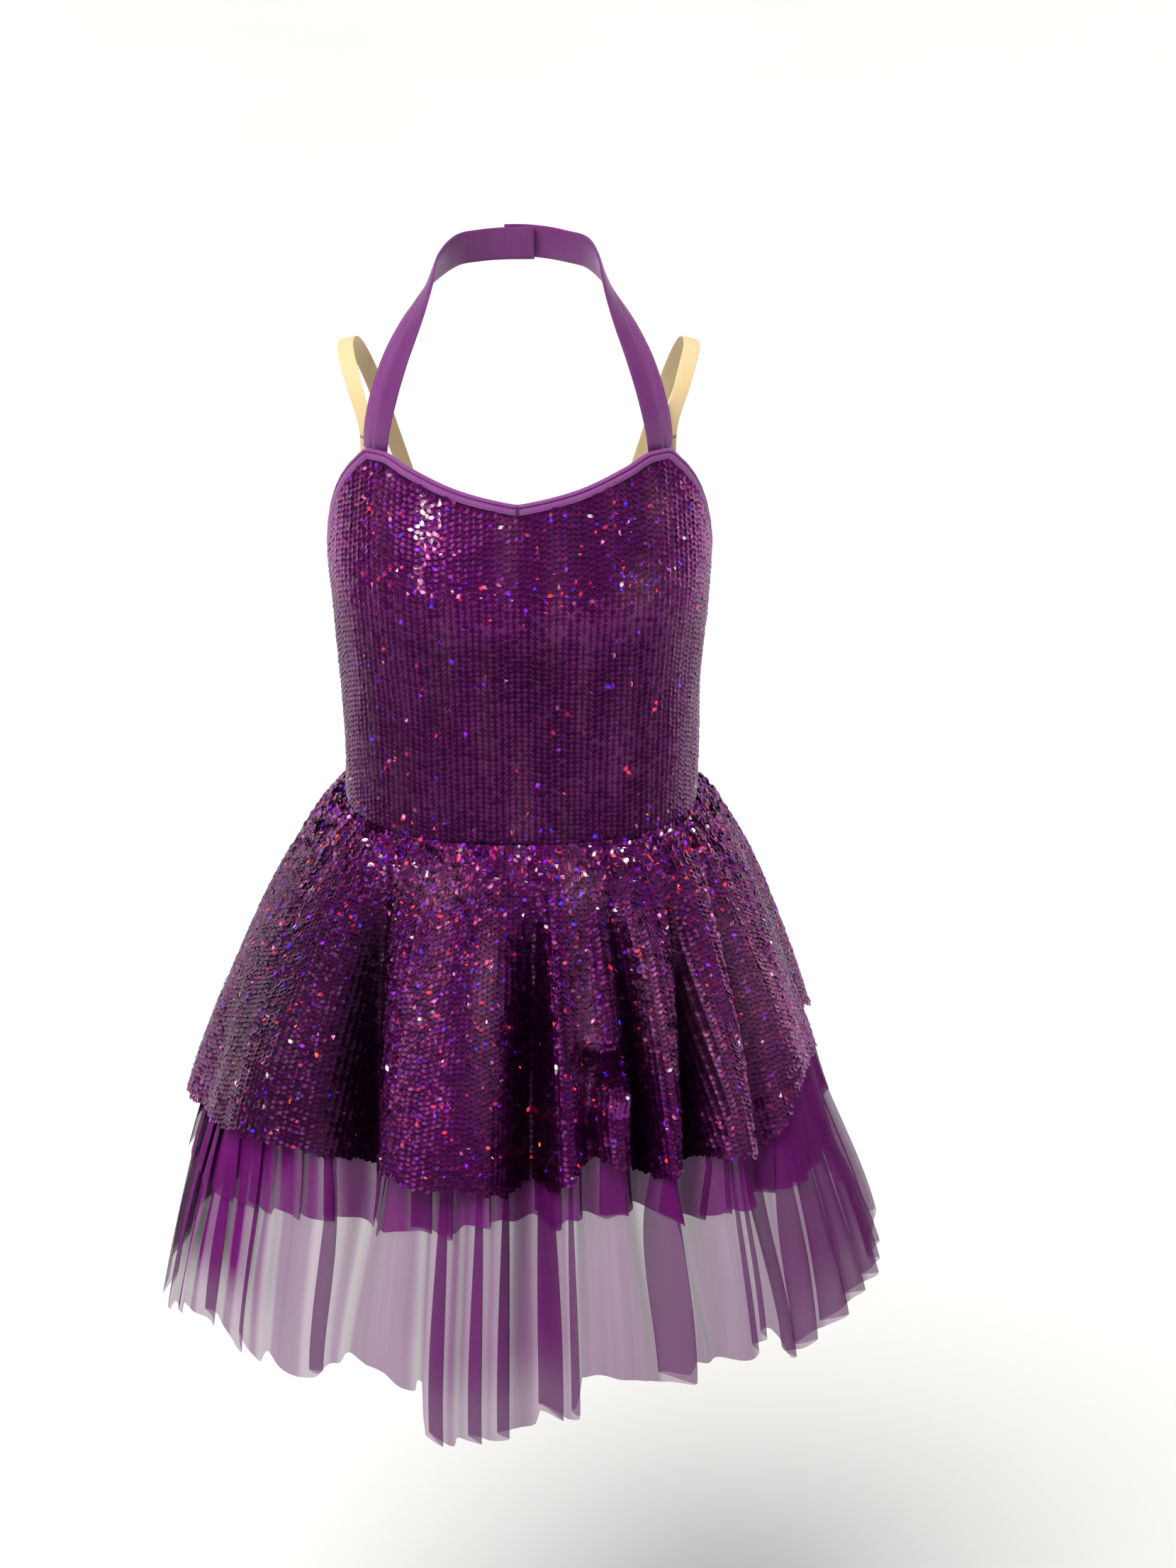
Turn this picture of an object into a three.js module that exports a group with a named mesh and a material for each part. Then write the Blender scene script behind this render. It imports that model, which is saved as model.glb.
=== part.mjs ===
// Halter-neck sequinned leotard dress with a three-layer skirt, for a child of 8 to 10 years.
// Millimetres, +Z up. The garment hangs in its worn shape: the front faces -Y, the wearer's left
// is +X, and the origin is the middle of the waist, level with the waist seam.
import * as THREE from 'three';

// ---- Driving dimensions ----
const SQUARENESS = 2.3; // exponent of the body's oval sections, 2 is an ellipse
const NECKLINE_NOTCH = 221; // height of the middle of the neckline above the waist seam
const BODICE_TOP = 244; // height of the bodice's top corners
const BODICE_THICK = 1.2;
const LINING_THICK = 0.7;
const LINING_INSET = 2.3; // from the bodice's outside to the lining's
const BINDING_WIDE = 6;
const BINDING_THICK = 3.2;
const BINDING_SPACE = 7.2; // height of edge that a binding takes
const BINDING_PROUD = 0.8; // beyond the bodice's outside
const SIDE_SEAM_GAP = 0.15; // degrees left between two panels at a side seam
const TACK_RADIUS = 0.7;
const TACK_LONG = 4.5;
const TACK_BEHIND = 2; // from the bodice's outside to the tack's middle
const HALTER_WIDE = 20;
const HALTER_THICK = 3;
const NUDE_WIDE = 10;
const NUDE_THICK = 1.4;
const STRAP_CLEAR = 1.6; // between the left halter strap and its hinged end
const ELASTIC_WIDE = 10;
const ELASTIC_THICK = 1.2;
const ELASTIC_FOOT = 1.6; // height of the elastic's lower edge
const ELASTIC_CLEAR = 0.6; // between the lining and the elastic
const BRIEF_THICK = 1;
const GUSSET_INSET = 1.5; // from the brief's outside to the gusset lining's
const GUSSET_THICK = 0.7;
const LEG_ELASTIC_THICK = 2.4;
const LEG_ELASTIC_SUNK = 0.8; // behind the brief's outside
const LABEL_WIDE = 22;
const LABEL_LONG = 30;
const LABEL_THICK = 0.4;
const LABEL_AT = [0, 76, -6]; // the middle of its upper edge
const SEQUIN_SKIRT_LONG = 212; // along the cloth, from the waist seam
const SHORT_TULLE_LONG = 242;
const LONG_TULLE_LONG = 362;
const SKIRT_THICK = 1;
const TULLE_THICK = 0.8;
const SKIRT_PUFF = 9; // how far the gathers spring out of the seam
const SEAM_SPACE = 2; // between two skirt layers in the waist seam
const LAYER_SPACE = 3.6; // between two skirt layers, below the gathers
const WIDEST_REACH = 178; // of the skirt, on the wearer's right
const REACH_LONG = 300; // length of cloth over which the reach dies away
const SNAP_RADIUS = 5;
const SNAP_HOLE_RADIUS = 2.6;
const SNAP_STUD_RADIUS = 1.4;
const SNAP_SOCKET_DEEP = 1.2;
const SNAP_STUD_PLATE = 0.5;
const SNAP_STUD_LONG = 1.2;
const SNAP_SOCKET_AT = 52.8; // just clear of the right strap's outer side
const SNAP_STUD_AT = 54.6; // just clear of the left strap's inner side
const NECK_HEIGHT = 336; // of the snap behind the neck

const SIDES = { left: 1, right: -1 };
const DEG = Math.PI / 180;

// The body under the garment: height, half width, depth in front, depth behind.
const BODY = [
  [-60, 119, 95, 98], [-2, 107, 80, 82], [65, 108, 86, 84], [130, 112, 92, 86],
  [168, 114.5, 96, 87], [215, 112, 87, 84], [250, 108, 75, 80],
];

// The bodice's top edge: degrees from the middle of the front, height.
const TOP_EDGE = [
  [0, NECKLINE_NOTCH], [15, NECKLINE_NOTCH + 7], [32, NECKLINE_NOTCH + 17],
  [44, BODICE_TOP], [51, BODICE_TOP - 0.5], [58, BODICE_TOP - 8], [67, 222], [76, 203],
  [84, 180], [92, 160], [105, 145], [125, 139], [142, 141], [160, 133], [180, 130],
];

// Folds of the skirt: degrees from the middle of the front, depth at the hem, half width in degrees.
const FOLDS = [
  [-27, 17, 4], [1, 14, 4.5], [14, 11, 4.5], [36, 9, 4], [53, 8, 5], [70, 6, 5],
  [90, 11, 5], [109, 13, 5], [128, 12, 5], [149, 14, 5], [171, 13, 5], [-166, 13, 5],
  [-144, 14, 5], [-122, 12, 5], [-101, 13, 5], [-78, 6, 5], [-52, 4, 5],
];

// How far the skirt reaches out from the waist, by degrees from the middle of the front.
const REACH = [[-180, 145], [-90, WIDEST_REACH], [0, 132], [90, 152], [180, 145]];

// The skirt's length against its nominal one, by degrees from the middle of the front.
const LENGTH = [[-180, 1], [-90, 1.05], [0, 1], [90, 0.96], [180, 1]];

// The halter strap from behind the top corner of the bodice to behind the neck.
const HALTER_FRONT = [
  [83.5, -47.5, 240, 0.7, -0.71, 0.08], [82.5, -48.5, 253, 0.62, -0.74, 0.28],
  [78.5, -46, 272, 0.52, -0.7, 0.5], [71.5, -38, 293, 0.52, -0.58, 0.63],
  [61.5, -22, 313, 0.68, -0.38, 0.62], [53.5, -4, 326, 0.88, -0.12, 0.42],
  [48.5, 14, 332, 0.93, 0.2, 0.22],
];
const HALTER_HINGE = [40, 33.5, NECK_HEIGHT];
const HALTER_BEHIND = [
  [36, 38, NECK_HEIGHT, 0.68, 0.74, 0.05], [24, 46, NECK_HEIGHT, 0.44, 0.9, 0.03],
  [11, 50, NECK_HEIGHT, 0.2, 0.98, 0], [-9, 51, NECK_HEIGHT, -0.1, 1, 0],
];
const LAPPED_END = [
  [40, 33.5, NECK_HEIGHT, 0.74, 0.67, 0.05], [29, 44, NECK_HEIGHT, 0.58, 0.8, 0.03],
  [16, 52.5, NECK_HEIGHT, 0.42, 0.9, 0], [3, 56.6, NECK_HEIGHT, 0.06, 1, 0],
  [-9, 56.6, NECK_HEIGHT, 0, 1, 0],
];
// The skin-coloured strap from the top corner over the shoulder to the back.
const NUDE_PATH = [
  [89.5, -36.5, 233, 0.74, -0.66, 0.1], [90, -38, 254, 0.6, -0.74, 0.3],
  [96.5, -31, 277, 0.45, -0.62, 0.64], [102, -8, 291, 0.28, -0.16, 0.95],
  [100, 18, 287, 0.25, 0.5, 0.83], [91, 49, 256, 0.4, 0.8, 0.4],
  [79, 64, 212, 0.45, 0.86, 0.18], [66.5, 71, 166, 0.48, 0.86, 0.06],
  [61.5, 68.5, 136, 0.52, 0.85, 0],
];

// Rows of the brief from the waist to the gusset: half width, then y and z of the middle, y and z
// of the edge.
const BRIEF_FRONT = [
  [107, -80, -2.5, 0, -2.5], [116, -91, -48, 0, -48], [121, -97, -92, 0, -92],
  [97, -94, -130, -34, -118], [63, -79, -166, -48, -150], [38, -46, -193, -37, -185],
  [32, -2.2, -204, -2.2, -199],
];
const BRIEF_BACK = [
  [107, 82, -2.5, 0, -2.5], [116, 97, -48, 0, -48], [121, 105, -92, 0, -92],
  [108, 103, -136, 42, -122], [79, 86, -172, 55, -159], [46, 50, -197, 44, -190],
  [32, 2.2, -204, 2.2, -199],
];
const BRIEF_ROWS = 18;
const SIDE_SEAM = 1 / 3; // the part of a panel's edge that is the side seam
const LEG_ELASTIC_AWAY = 4; // from the panel's edge to the middle of the elastic

// ---- Finishes ----
const finish = (color, roughness, metalness = 0) =>
  new THREE.MeshStandardMaterial({ color, roughness, metalness });
const SEQUINS = finish(0x4b0a52, 0.3, 0.6);
const LINING = finish(0x4a1552, 0.8);
const BRIEF_CLOTH = finish(0x5a1a64, 0.6);
const SATIN = finish(0x9a3fa8, 0.42);
const TULLE = finish(0x7d3b87, 0.9);
const NUDE = finish(0xe3c48c, 0.75);
const ELASTIC = finish(0x2d1233, 0.85);
const SNAP = finish(0xb9bcc2, 0.3, 0.9);
const LABEL = finish(0xf2f0ec, 0.8);

const garment = new THREE.Group();

function add(name, geometry, material) {
  const mesh = new THREE.Mesh(geometry, material);
  mesh.name = name;
  garment.add(mesh);
}

// ---- Curves through tables ----
// A smooth curve through the rows of a table, read in column `column` at `x`. It never swings
// past a row.
function smooth(table, x, column = 1) {
  const last = table.length - 1;
  let i = 0;
  while (i < last - 1 && x > table[i + 1][0]) i += 1;
  const rise = (k) => (table[k + 1][column] - table[k][column]) / (table[k + 1][0] - table[k][0]);
  const slope = (k) => {
    if (k === 0 || k === last) return rise(Math.max(k - 1, 0));
    const [before, after] = [rise(k - 1), rise(k)];
    return before * after > 0 ? (2 * before * after) / (before + after) : 0;
  };
  const [x0, x1] = [table[i][0], table[i + 1][0]];
  const span = x1 - x0;
  const t = THREE.MathUtils.clamp((x - x0) / span, 0, 1);
  const [t2, t3] = [t * t, t * t * t];
  return (2 * t3 - 3 * t2 + 1) * table[i][column] + (t3 - 2 * t2 + t) * span * slope(i)
    + (3 * t2 - 2 * t3) * table[i + 1][column] + (t3 - t2) * span * slope(i + 1);
}

// ---- Solids made of a sheet with thickness ----
// The unit normal of the surface point(u, v), on the side of du x dv.
function normalAt(point, u, v) {
  const step = 1e-3;
  const du = point(u + step, v).sub(point(u - step, v));
  const dv = point(u, v + step).sub(point(u, v - step));
  return du.cross(dv).normalize();
}

// A closed solid between the surface point(u, v), sunk by `inset`, and the same sunk by
// `thick` more. u runs over the list `us` and v over `vs`; a ring joins its last column to its
// first. The surface's normal, du x dv, points out.
function sheetSolid(point, us, vs, inset, thick, ring = false) {
  const rows = vs.length;
  const columns = us.length;
  const positions = [];
  for (const depth of [inset, inset + thick]) {
    for (const u of us) {
      for (const v of vs) {
        const p = point(u, v).addScaledVector(normalAt(point, u, v), -depth);
        positions.push(p.x, p.y, p.z);
      }
    }
  }
  const at = (layer, i, j) => layer * rows * columns + (i % columns) * rows + j;
  const faces = [];
  const quad = (a, b, c, d) => faces.push(a, b, c, a, c, d);
  const cells = ring ? columns : columns - 1;
  for (let i = 0; i < cells; i += 1) {
    for (let j = 0; j < rows - 1; j += 1) {
      quad(at(0, i, j), at(0, i + 1, j), at(0, i + 1, j + 1), at(0, i, j + 1));
      quad(at(1, i, j), at(1, i, j + 1), at(1, i + 1, j + 1), at(1, i + 1, j));
    }
    quad(at(0, i, 0), at(1, i, 0), at(1, i + 1, 0), at(0, i + 1, 0));
    quad(at(0, i, rows - 1), at(0, i + 1, rows - 1), at(1, i + 1, rows - 1), at(1, i, rows - 1));
  }
  if (!ring) {
    for (let j = 0; j < rows - 1; j += 1) {
      quad(at(0, 0, j), at(0, 0, j + 1), at(1, 0, j + 1), at(1, 0, j));
      quad(at(0, cells, j), at(1, cells, j), at(1, cells, j + 1), at(0, cells, j + 1));
    }
  }
  return solidFrom(positions, faces);
}

function solidFrom(positions, faces) {
  const geometry = new THREE.BufferGeometry();
  geometry.setAttribute('position', new THREE.Float32BufferAttribute(positions, 3));
  geometry.setIndex(faces);
  geometry.computeVertexNormals();
  return geometry;
}

function steps(from, to, count) {
  return Array.from({ length: count + 1 }, (_, i) => from + ((to - from) * i) / count);
}

// ---- Bands: straps, bindings and elastics ----
// A band with rounded edges along `path`, a list of { at, facing }: `wide` across, `thick`
// through, its flat side facing `facing`. A loop joins its last section to its first.
function band(path, wide, thick, loop = false) {
  const section = [[1, 0.2], [0.82, 1], [-0.82, 1], [-1, 0.2], [-0.82, -1], [0.82, -1]];
  const count = path.length;
  const positions = [];
  path.forEach(({ at, facing }, i) => {
    const before = path[loop ? (i + count - 1) % count : Math.max(i - 1, 0)].at;
    const after = path[loop ? (i + 1) % count : Math.min(i + 1, count - 1)].at;
    const along = after.clone().sub(before).normalize();
    const across = along.clone().cross(facing).normalize();
    const out = across.clone().cross(along);
    for (const [a, b] of section) {
      const p = at.clone().addScaledVector(across, (a * wide) / 2);
      p.addScaledVector(out, (b * thick) / 2);
      positions.push(p.x, p.y, p.z);
    }
  });
  const n = section.length;
  const faces = [];
  const cells = loop ? count : count - 1;
  for (let i = 0; i < cells; i += 1) {
    for (let k = 0; k < n; k += 1) {
      const [a, b] = [i * n + k, i * n + ((k + 1) % n)];
      const [c, d] = [((i + 1) % count) * n + ((k + 1) % n), ((i + 1) % count) * n + k];
      faces.push(a, c, b, a, d, c);
    }
  }
  if (!loop) {
    const end = (count - 1) * n;
    for (let k = 1; k < n - 1; k += 1) {
      faces.push(0, k, k + 1, end, end + k + 1, end + k);
    }
  }
  return solidFrom(positions, faces);
}

// A smooth path of `count` steps through the rows [x, y, z, facing x, facing y, facing z].
function smoothPath(rows, count) {
  const places = new THREE.CatmullRomCurve3(rows.map((r) => new THREE.Vector3(r[0], r[1], r[2])));
  const facings = new THREE.CatmullRomCurve3(rows.map((r) => new THREE.Vector3(r[3], r[4], r[5])));
  return steps(0, 1, count).map((t) => ({ at: places.getPoint(t), facing: facings.getPoint(t) }));
}

// The same path on the wearer's other side when `side` is -1, run so that it stays right-handed.
function mirrored(path, side) {
  if (side > 0) return path;
  const flip = (v) => new THREE.Vector3(-v.x, v.y, v.z);
  return path.map(({ at, facing }) => ({ at: flip(at), facing: flip(facing) }));
}

// ---- The bodice ----
function oval(angle, halfWidth, front, back) {
  const power = 2 / SQUARENESS;
  const [s, c] = [Math.sin(angle), Math.cos(angle)];
  const depth = c > 0 ? front : back;
  return [
    halfWidth * Math.sign(s) * Math.abs(s) ** power,
    -depth * Math.sign(c) * Math.abs(c) ** power,
  ];
}

function bodyPoint(angle, height) {
  const at = (column) => smooth(BODY, height, column);
  const [x, y] = oval(angle, at(1), at(2), at(3));
  return new THREE.Vector3(x, y, height);
}

function topEdge(angle) {
  const degrees = Math.abs(angle / DEG);
  return smooth(TOP_EDGE, degrees > 180 ? 360 - degrees : degrees);
}

// Height below the top edge that measures `width` square to the edge.
function dropAcross(angle, width) {
  const step = 0.01;
  const rise = (topEdge(angle + step) - topEdge(angle - step)) / (2 * step);
  const radius = bodyPoint(angle, topEdge(angle)).setZ(0).length();
  return width * Math.hypot(1, rise / radius);
}

// v from 0 at the waist seam to 1 below the binding.
function bodicePoint(angle, v) {
  const top = topEdge(angle) - dropAcross(angle, BINDING_SPACE);
  return bodyPoint(angle, 1 + (top - 1) * v);
}

function addBodice() {
  const halves = {
    front: [-90 + SIDE_SEAM_GAP, 90 - SIDE_SEAM_GAP],
    back: [90 + SIDE_SEAM_GAP, 270 - SIDE_SEAM_GAP],
  };
  for (const [name, [from, to]] of Object.entries(halves)) {
    const angles = steps(from * DEG, to * DEG, 18);
    const heights = steps(0, 1, 6);
    add(`bodice_${name}`, sheetSolid(bodicePoint, angles, heights, 0, BODICE_THICK), SEQUINS);
    const lining = sheetSolid(bodicePoint, angles, heights, LINING_INSET, LINING_THICK);
    add(`bodice_lining_${name}`, lining, LINING);
  }
}

// The line of a binding on the top edge between two angles in degrees.
function edgeLine(from, to, count) {
  return steps(from * DEG, to * DEG, count).map((angle) => {
    const height = topEdge(angle) - dropAcross(angle, BINDING_WIDE / 2);
    const facing = normalAt(bodyPoint, angle, height);
    const at = bodyPoint(angle, height).addScaledVector(facing, BINDING_PROUD - BINDING_THICK / 2);
    return { at, facing };
  });
}

function addBindings() {
  for (const [name, side] of Object.entries(SIDES)) {
    const neckline = mirrored(edgeLine(0.25, 50, 18), side);
    add(`neckline_binding_${name}`, band(neckline, BINDING_WIDE, BINDING_THICK), SATIN);
    const armhole = mirrored(edgeLine(54.5, 139.5, 24), side);
    add(`armhole_binding_${name}`, band(armhole, BINDING_WIDE, BINDING_THICK), SATIN);
  }
  add('back_binding', band(edgeLine(140.5, 219.5, 20), BINDING_WIDE, BINDING_THICK), SATIN);
  const notch = bodyPoint(0, NECKLINE_NOTCH - BINDING_WIDE / 2);
  const tack = new THREE.CapsuleGeometry(TACK_RADIUS, TACK_LONG, 3, 8);
  tack.rotateX(Math.PI / 2).translate(0, notch.y - TACK_BEHIND, notch.z);
  add('neckline_tack', tack, ELASTIC);
}

// ---- Straps ----

function addStraps() {
  const hinge = new THREE.Vector3(...HALTER_HINGE);
  const gap = HALTER_THICK / 2 + STRAP_CLEAR; // from the hinge to the strap in front of it
  const toHinge = [...HALTER_FRONT, [...HALTER_HINGE, 0.8, 0.6, 0.06]];
  const front = smoothPath(toHinge, 18).filter(({ at }) => at.distanceTo(hinge) > gap + 1.5);
  const cut = smoothPath(toHinge, 240).filter(({ at }) => at.distanceTo(hinge) > gap).pop();
  add('halter_strap_left', band([...front, cut], HALTER_WIDE, HALTER_THICK), SATIN);

  const whole = mirrored(smoothPath([...HALTER_FRONT, ...HALTER_BEHIND], 26), SIDES.right);
  add('halter_strap_right', band(whole, HALTER_WIDE, HALTER_THICK), SATIN);

  const end = smoothPath(LAPPED_END, 8);
  add('halter_strap_left_end', band(end, HALTER_WIDE, HALTER_THICK), SATIN);

  for (const [name, side] of Object.entries(SIDES)) {
    const strap = band(mirrored(smoothPath(NUDE_PATH, 20), side), NUDE_WIDE, NUDE_THICK);
    add(`nude_strap_${name}`, strap, NUDE);
  }
}

// The snap that joins the two halter straps: a ring on the right strap, a stud on the left.
function addSnap() {
  const socket = new THREE.LatheGeometry([
    new THREE.Vector2(SNAP_HOLE_RADIUS, 0), new THREE.Vector2(SNAP_RADIUS, 0),
    new THREE.Vector2(SNAP_RADIUS, SNAP_SOCKET_DEEP),
    new THREE.Vector2(SNAP_HOLE_RADIUS, SNAP_SOCKET_DEEP),
    new THREE.Vector2(SNAP_HOLE_RADIUS, 0),
  ], 20);
  add('snap_socket', socket.translate(0, SNAP_SOCKET_AT, NECK_HEIGHT), SNAP);
  const stud = new THREE.LatheGeometry([
    new THREE.Vector2(0, -SNAP_STUD_LONG), new THREE.Vector2(SNAP_STUD_RADIUS, -SNAP_STUD_LONG),
    new THREE.Vector2(SNAP_STUD_RADIUS, 0), new THREE.Vector2(SNAP_RADIUS, 0),
    new THREE.Vector2(SNAP_RADIUS, SNAP_STUD_PLATE), new THREE.Vector2(0, SNAP_STUD_PLATE),
  ], 20);
  add('snap_stud', stud.translate(0, SNAP_STUD_AT - SNAP_STUD_PLATE, NECK_HEIGHT), SNAP);
}

// ---- The skirt ----
function foldDepth(angle) {
  const degrees = angle / DEG;
  let depth = 0;
  for (const [middle, deep, half] of FOLDS) {
    const away = THREE.MathUtils.euclideanModulo(degrees - middle + 180, 360) - 180;
    depth += deep * Math.exp(-((away / half) ** 2) / 2);
  }
  return depth;
}

// A point of a skirt layer at `angle` and `down`, the length of cloth from the seam. `inside`
// counts the layers from the outer one.
function skirtPoint(angle, nominalDown, inside) {
  const degrees = THREE.MathUtils.euclideanModulo(angle / DEG + 180, 360) - 180;
  const reach = smooth(REACH, degrees);
  const down = nominalDown * smooth(LENGTH, degrees);
  const gathers = Math.min(nominalDown / 8, 1);
  const grown = THREE.MathUtils.smoothstep(nominalDown, 5, SEQUIN_SKIRT_LONG);
  // below the sequinned skirt the tulle reaches out nearly as far all round
  const evened = THREE.MathUtils.smoothstep(nominalDown, SEQUIN_SKIRT_LONG, LONG_TULLE_LONG);
  const out = 4.6 - inside * (SEAM_SPACE + (LAYER_SPACE - SEAM_SPACE) * gathers)
    + SKIRT_PUFF * (1 - Math.exp(-down / 13)) + reach * (1 - Math.exp(-down / REACH_LONG))
    + 0.5 * (WIDEST_REACH - reach) * evened - foldDepth(angle) * grown;
  const [x, y] = oval(angle, smooth(BODY, -2, 1) + out, smooth(BODY, -2, 2) + out,
    smooth(BODY, -2, 3) + out);
  const drop = down * (0.985 - 0.00042 * reach) - 3 * (1 - Math.exp(-down / 20));
  return new THREE.Vector3(x, y, -1 - drop - inside * 2.4 * gathers);
}

function addSkirt() {
  const around = steps(-180 * DEG, 180 * DEG, 64).slice(0, -1);
  const layers = [
    ['sequin_skirt', SEQUIN_SKIRT_LONG, SKIRT_THICK, SEQUINS],
    ['tulle_layer_short', SHORT_TULLE_LONG, TULLE_THICK, TULLE],
    ['tulle_layer_long', LONG_TULLE_LONG, TULLE_THICK, TULLE],
  ];
  layers.forEach(([name, long, thick, material], inside) => {
    // listed from the hem up, so that the surface's normal points out
    const ups = [0, 4, 9, 18, 50, 110, SEQUIN_SKIRT_LONG, SHORT_TULLE_LONG, 280, long]
      .filter((down, i, all) => down <= long && all.indexOf(down) === i)
      .map((down) => -down).reverse();
    const point = (angle, up) => skirtPoint(angle, -up, inside);
    add(name, sheetSolid(point, around, ups, 0, thick, true), material);
  });
}

// ---- Waist elastic, brief and label ----

// across from -1 to 1 at the edges, down from 0 at the waist to 1 at the gusset. The leg opening
// starts with a corner at the foot of the side seam.
function briefPoint(rows, across, down) {
  const stations = rows.map((row, i) => [i / (rows.length - 1), ...row]);
  const table = down < SIDE_SEAM ? stations.slice(0, 3) : stations.slice(2);
  const at = (column) => smooth(table, down, column);
  const [x, towards] = oval(across * 90 * DEG, at(1), 1, 1);
  const middle = -towards;
  const y = at(4) + (at(2) - at(4)) * middle;
  const z = at(5) + (at(3) - at(5)) * middle;
  return new THREE.Vector3(x, y + 0.2 * Math.sign(rows[0][1]) * (1 - middle), z);
}

function addBrief() {
  const front = (u, v) => briefPoint(BRIEF_FRONT, u, -v);
  const back = (u, v) => briefPoint(BRIEF_BACK, -u, -v);
  const across = steps(-1, 1, 12);
  const ups = steps(-1, 0, BRIEF_ROWS);
  add('brief_front', sheetSolid(front, across, ups, 0, BRIEF_THICK), BRIEF_CLOTH);
  add('brief_back', sheetSolid(back, across, ups, 0, BRIEF_THICK), BRIEF_CLOTH);

  const [inner, low] = [across.slice(1, -1), ups.slice(0, 5)];
  add('gusset_lining', sheetSolid(front, inner, low, GUSSET_INSET, GUSSET_THICK), LINING);
}

// The line of one leg elastic, down the front and up the back, beside the brief's panels. It
// turns where the panels' own edges do.
function legLine(side) {
  const downs = steps(SIDE_SEAM + 1 / BRIEF_ROWS, 1, BRIEF_ROWS * (1 - SIDE_SEAM) - 1);
  const beside = (rows, outward) => downs.map((down) => {
    const point = (u, v) => briefPoint(rows, u, v);
    const edge = point(1, down);
    const along = point(1, Math.min(down + 0.02, 1)).sub(point(1, down - 0.02));
    const facing = normalAt(point, 0.98, down).multiplyScalar(outward);
    const away = along.cross(facing).normalize();
    if (away.dot(point(0.86, down).sub(edge)) > 0) away.negate();
    edge.addScaledVector(away, LEG_ELASTIC_AWAY);
    return { at: edge.addScaledVector(facing, -LEG_ELASTIC_SUNK), facing };
  });
  const [front, back] = [beside(BRIEF_FRONT, -1), beside(BRIEF_BACK, 1)];
  return mirrored([...front, ...back.reverse()], side);
}

function addTrims() {
  for (const [name, side] of Object.entries(SIDES)) {
    add(`leg_elastic_${name}`, band(legLine(side), BINDING_WIDE, LEG_ELASTIC_THICK, true), SATIN);
  }
  const inside = LINING_INSET + LINING_THICK + ELASTIC_CLEAR;
  const waist = (angle, v) => bodyPoint(angle, ELASTIC_FOOT + ELASTIC_WIDE * v);
  const around = steps(0, 360 * DEG, 40).slice(0, -1);
  const elastic = sheetSolid(waist, around, [0, 1], inside, ELASTIC_THICK, true);
  add('waist_elastic', elastic, ELASTIC);

  const half = LABEL_WIDE / 2;
  const label = new THREE.Shape([[-half, 0], [half, 0], [half, -LABEL_LONG], [-half, -LABEL_LONG]]
    .map(([x, z]) => new THREE.Vector2(x, z)));
  const tag = new THREE.ExtrudeGeometry(label, { depth: LABEL_THICK, bevelEnabled: false });
  add('care_label', tag.rotateX(Math.PI / 2).translate(...LABEL_AT), LABEL);
}

addBodice();
addBindings();
addStraps();
addSnap();
addSkirt();
addBrief();
addTrims();

export default garment;
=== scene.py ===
"""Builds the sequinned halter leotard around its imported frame: cloth, sequins, satin, tulle and stage."""

import math

import bmesh
import bpy
import numpy as np
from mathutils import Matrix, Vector


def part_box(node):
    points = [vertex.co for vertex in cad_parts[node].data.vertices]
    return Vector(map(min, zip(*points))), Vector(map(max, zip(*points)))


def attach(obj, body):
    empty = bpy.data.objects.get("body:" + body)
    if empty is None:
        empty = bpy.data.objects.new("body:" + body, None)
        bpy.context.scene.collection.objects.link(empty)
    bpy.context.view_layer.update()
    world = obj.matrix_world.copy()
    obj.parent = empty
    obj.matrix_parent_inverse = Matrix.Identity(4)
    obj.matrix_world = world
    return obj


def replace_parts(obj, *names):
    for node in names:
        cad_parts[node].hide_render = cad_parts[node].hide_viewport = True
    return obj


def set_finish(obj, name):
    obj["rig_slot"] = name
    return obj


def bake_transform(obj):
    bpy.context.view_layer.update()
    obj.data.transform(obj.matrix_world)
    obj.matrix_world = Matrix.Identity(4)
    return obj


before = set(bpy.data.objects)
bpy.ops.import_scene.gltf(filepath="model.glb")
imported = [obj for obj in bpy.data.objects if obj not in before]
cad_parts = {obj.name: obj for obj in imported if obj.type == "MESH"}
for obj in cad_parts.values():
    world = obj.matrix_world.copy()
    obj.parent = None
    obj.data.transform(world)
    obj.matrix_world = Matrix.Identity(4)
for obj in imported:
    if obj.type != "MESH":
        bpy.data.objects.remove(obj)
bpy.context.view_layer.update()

bl_info = {
    "name": "Sequinned Halter Leotard",
    "version": (1, 0, 0),
    "blender": (4, 5, 0),
    "location": "View3D > Sidebar > Leotard",
    "description": "Builds a sequinned halter leotard with a three-layer skirt from its cut lines",
    "category": "Add Mesh",
}

GARMENT = "leotard"
MM = 0.001
SIDES = {"left": 1, "right": -1}
HALVES = {"front": -1, "back": 1}

# ---- Cut lines, in millimetres: +Z up, the front faces -Y, the wearer's left is +X ----
OVAL_POWER = 2 / 2.3
BODY = [  # height, half width, depth in front, depth behind
    (-60, 119, 95, 98), (-2, 107, 80, 82), (65, 108, 86, 84), (130, 112, 92, 86),
    (168, 114.5, 96, 87), (215, 112, 87, 84), (250, 108, 75, 80),
]
TOP_EDGE = [  # degrees from the middle of the front, height
    (0, 221), (15, 228), (32, 238), (44, 244), (51, 243.5), (58, 236), (67, 222), (76, 203), (84, 180),
    (92, 160), (105, 145), (125, 139), (142, 141), (160, 133), (180, 130),
]
REACH = [(-180, 145), (-90, 178), (0, 132), (90, 152), (180, 145)]
WIDEST_REACH = 178
REACH_LONG = 300
SKIRT_LONG = 212
TULLE_LONG = 362
WAIST_HEIGHT = -2
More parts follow.
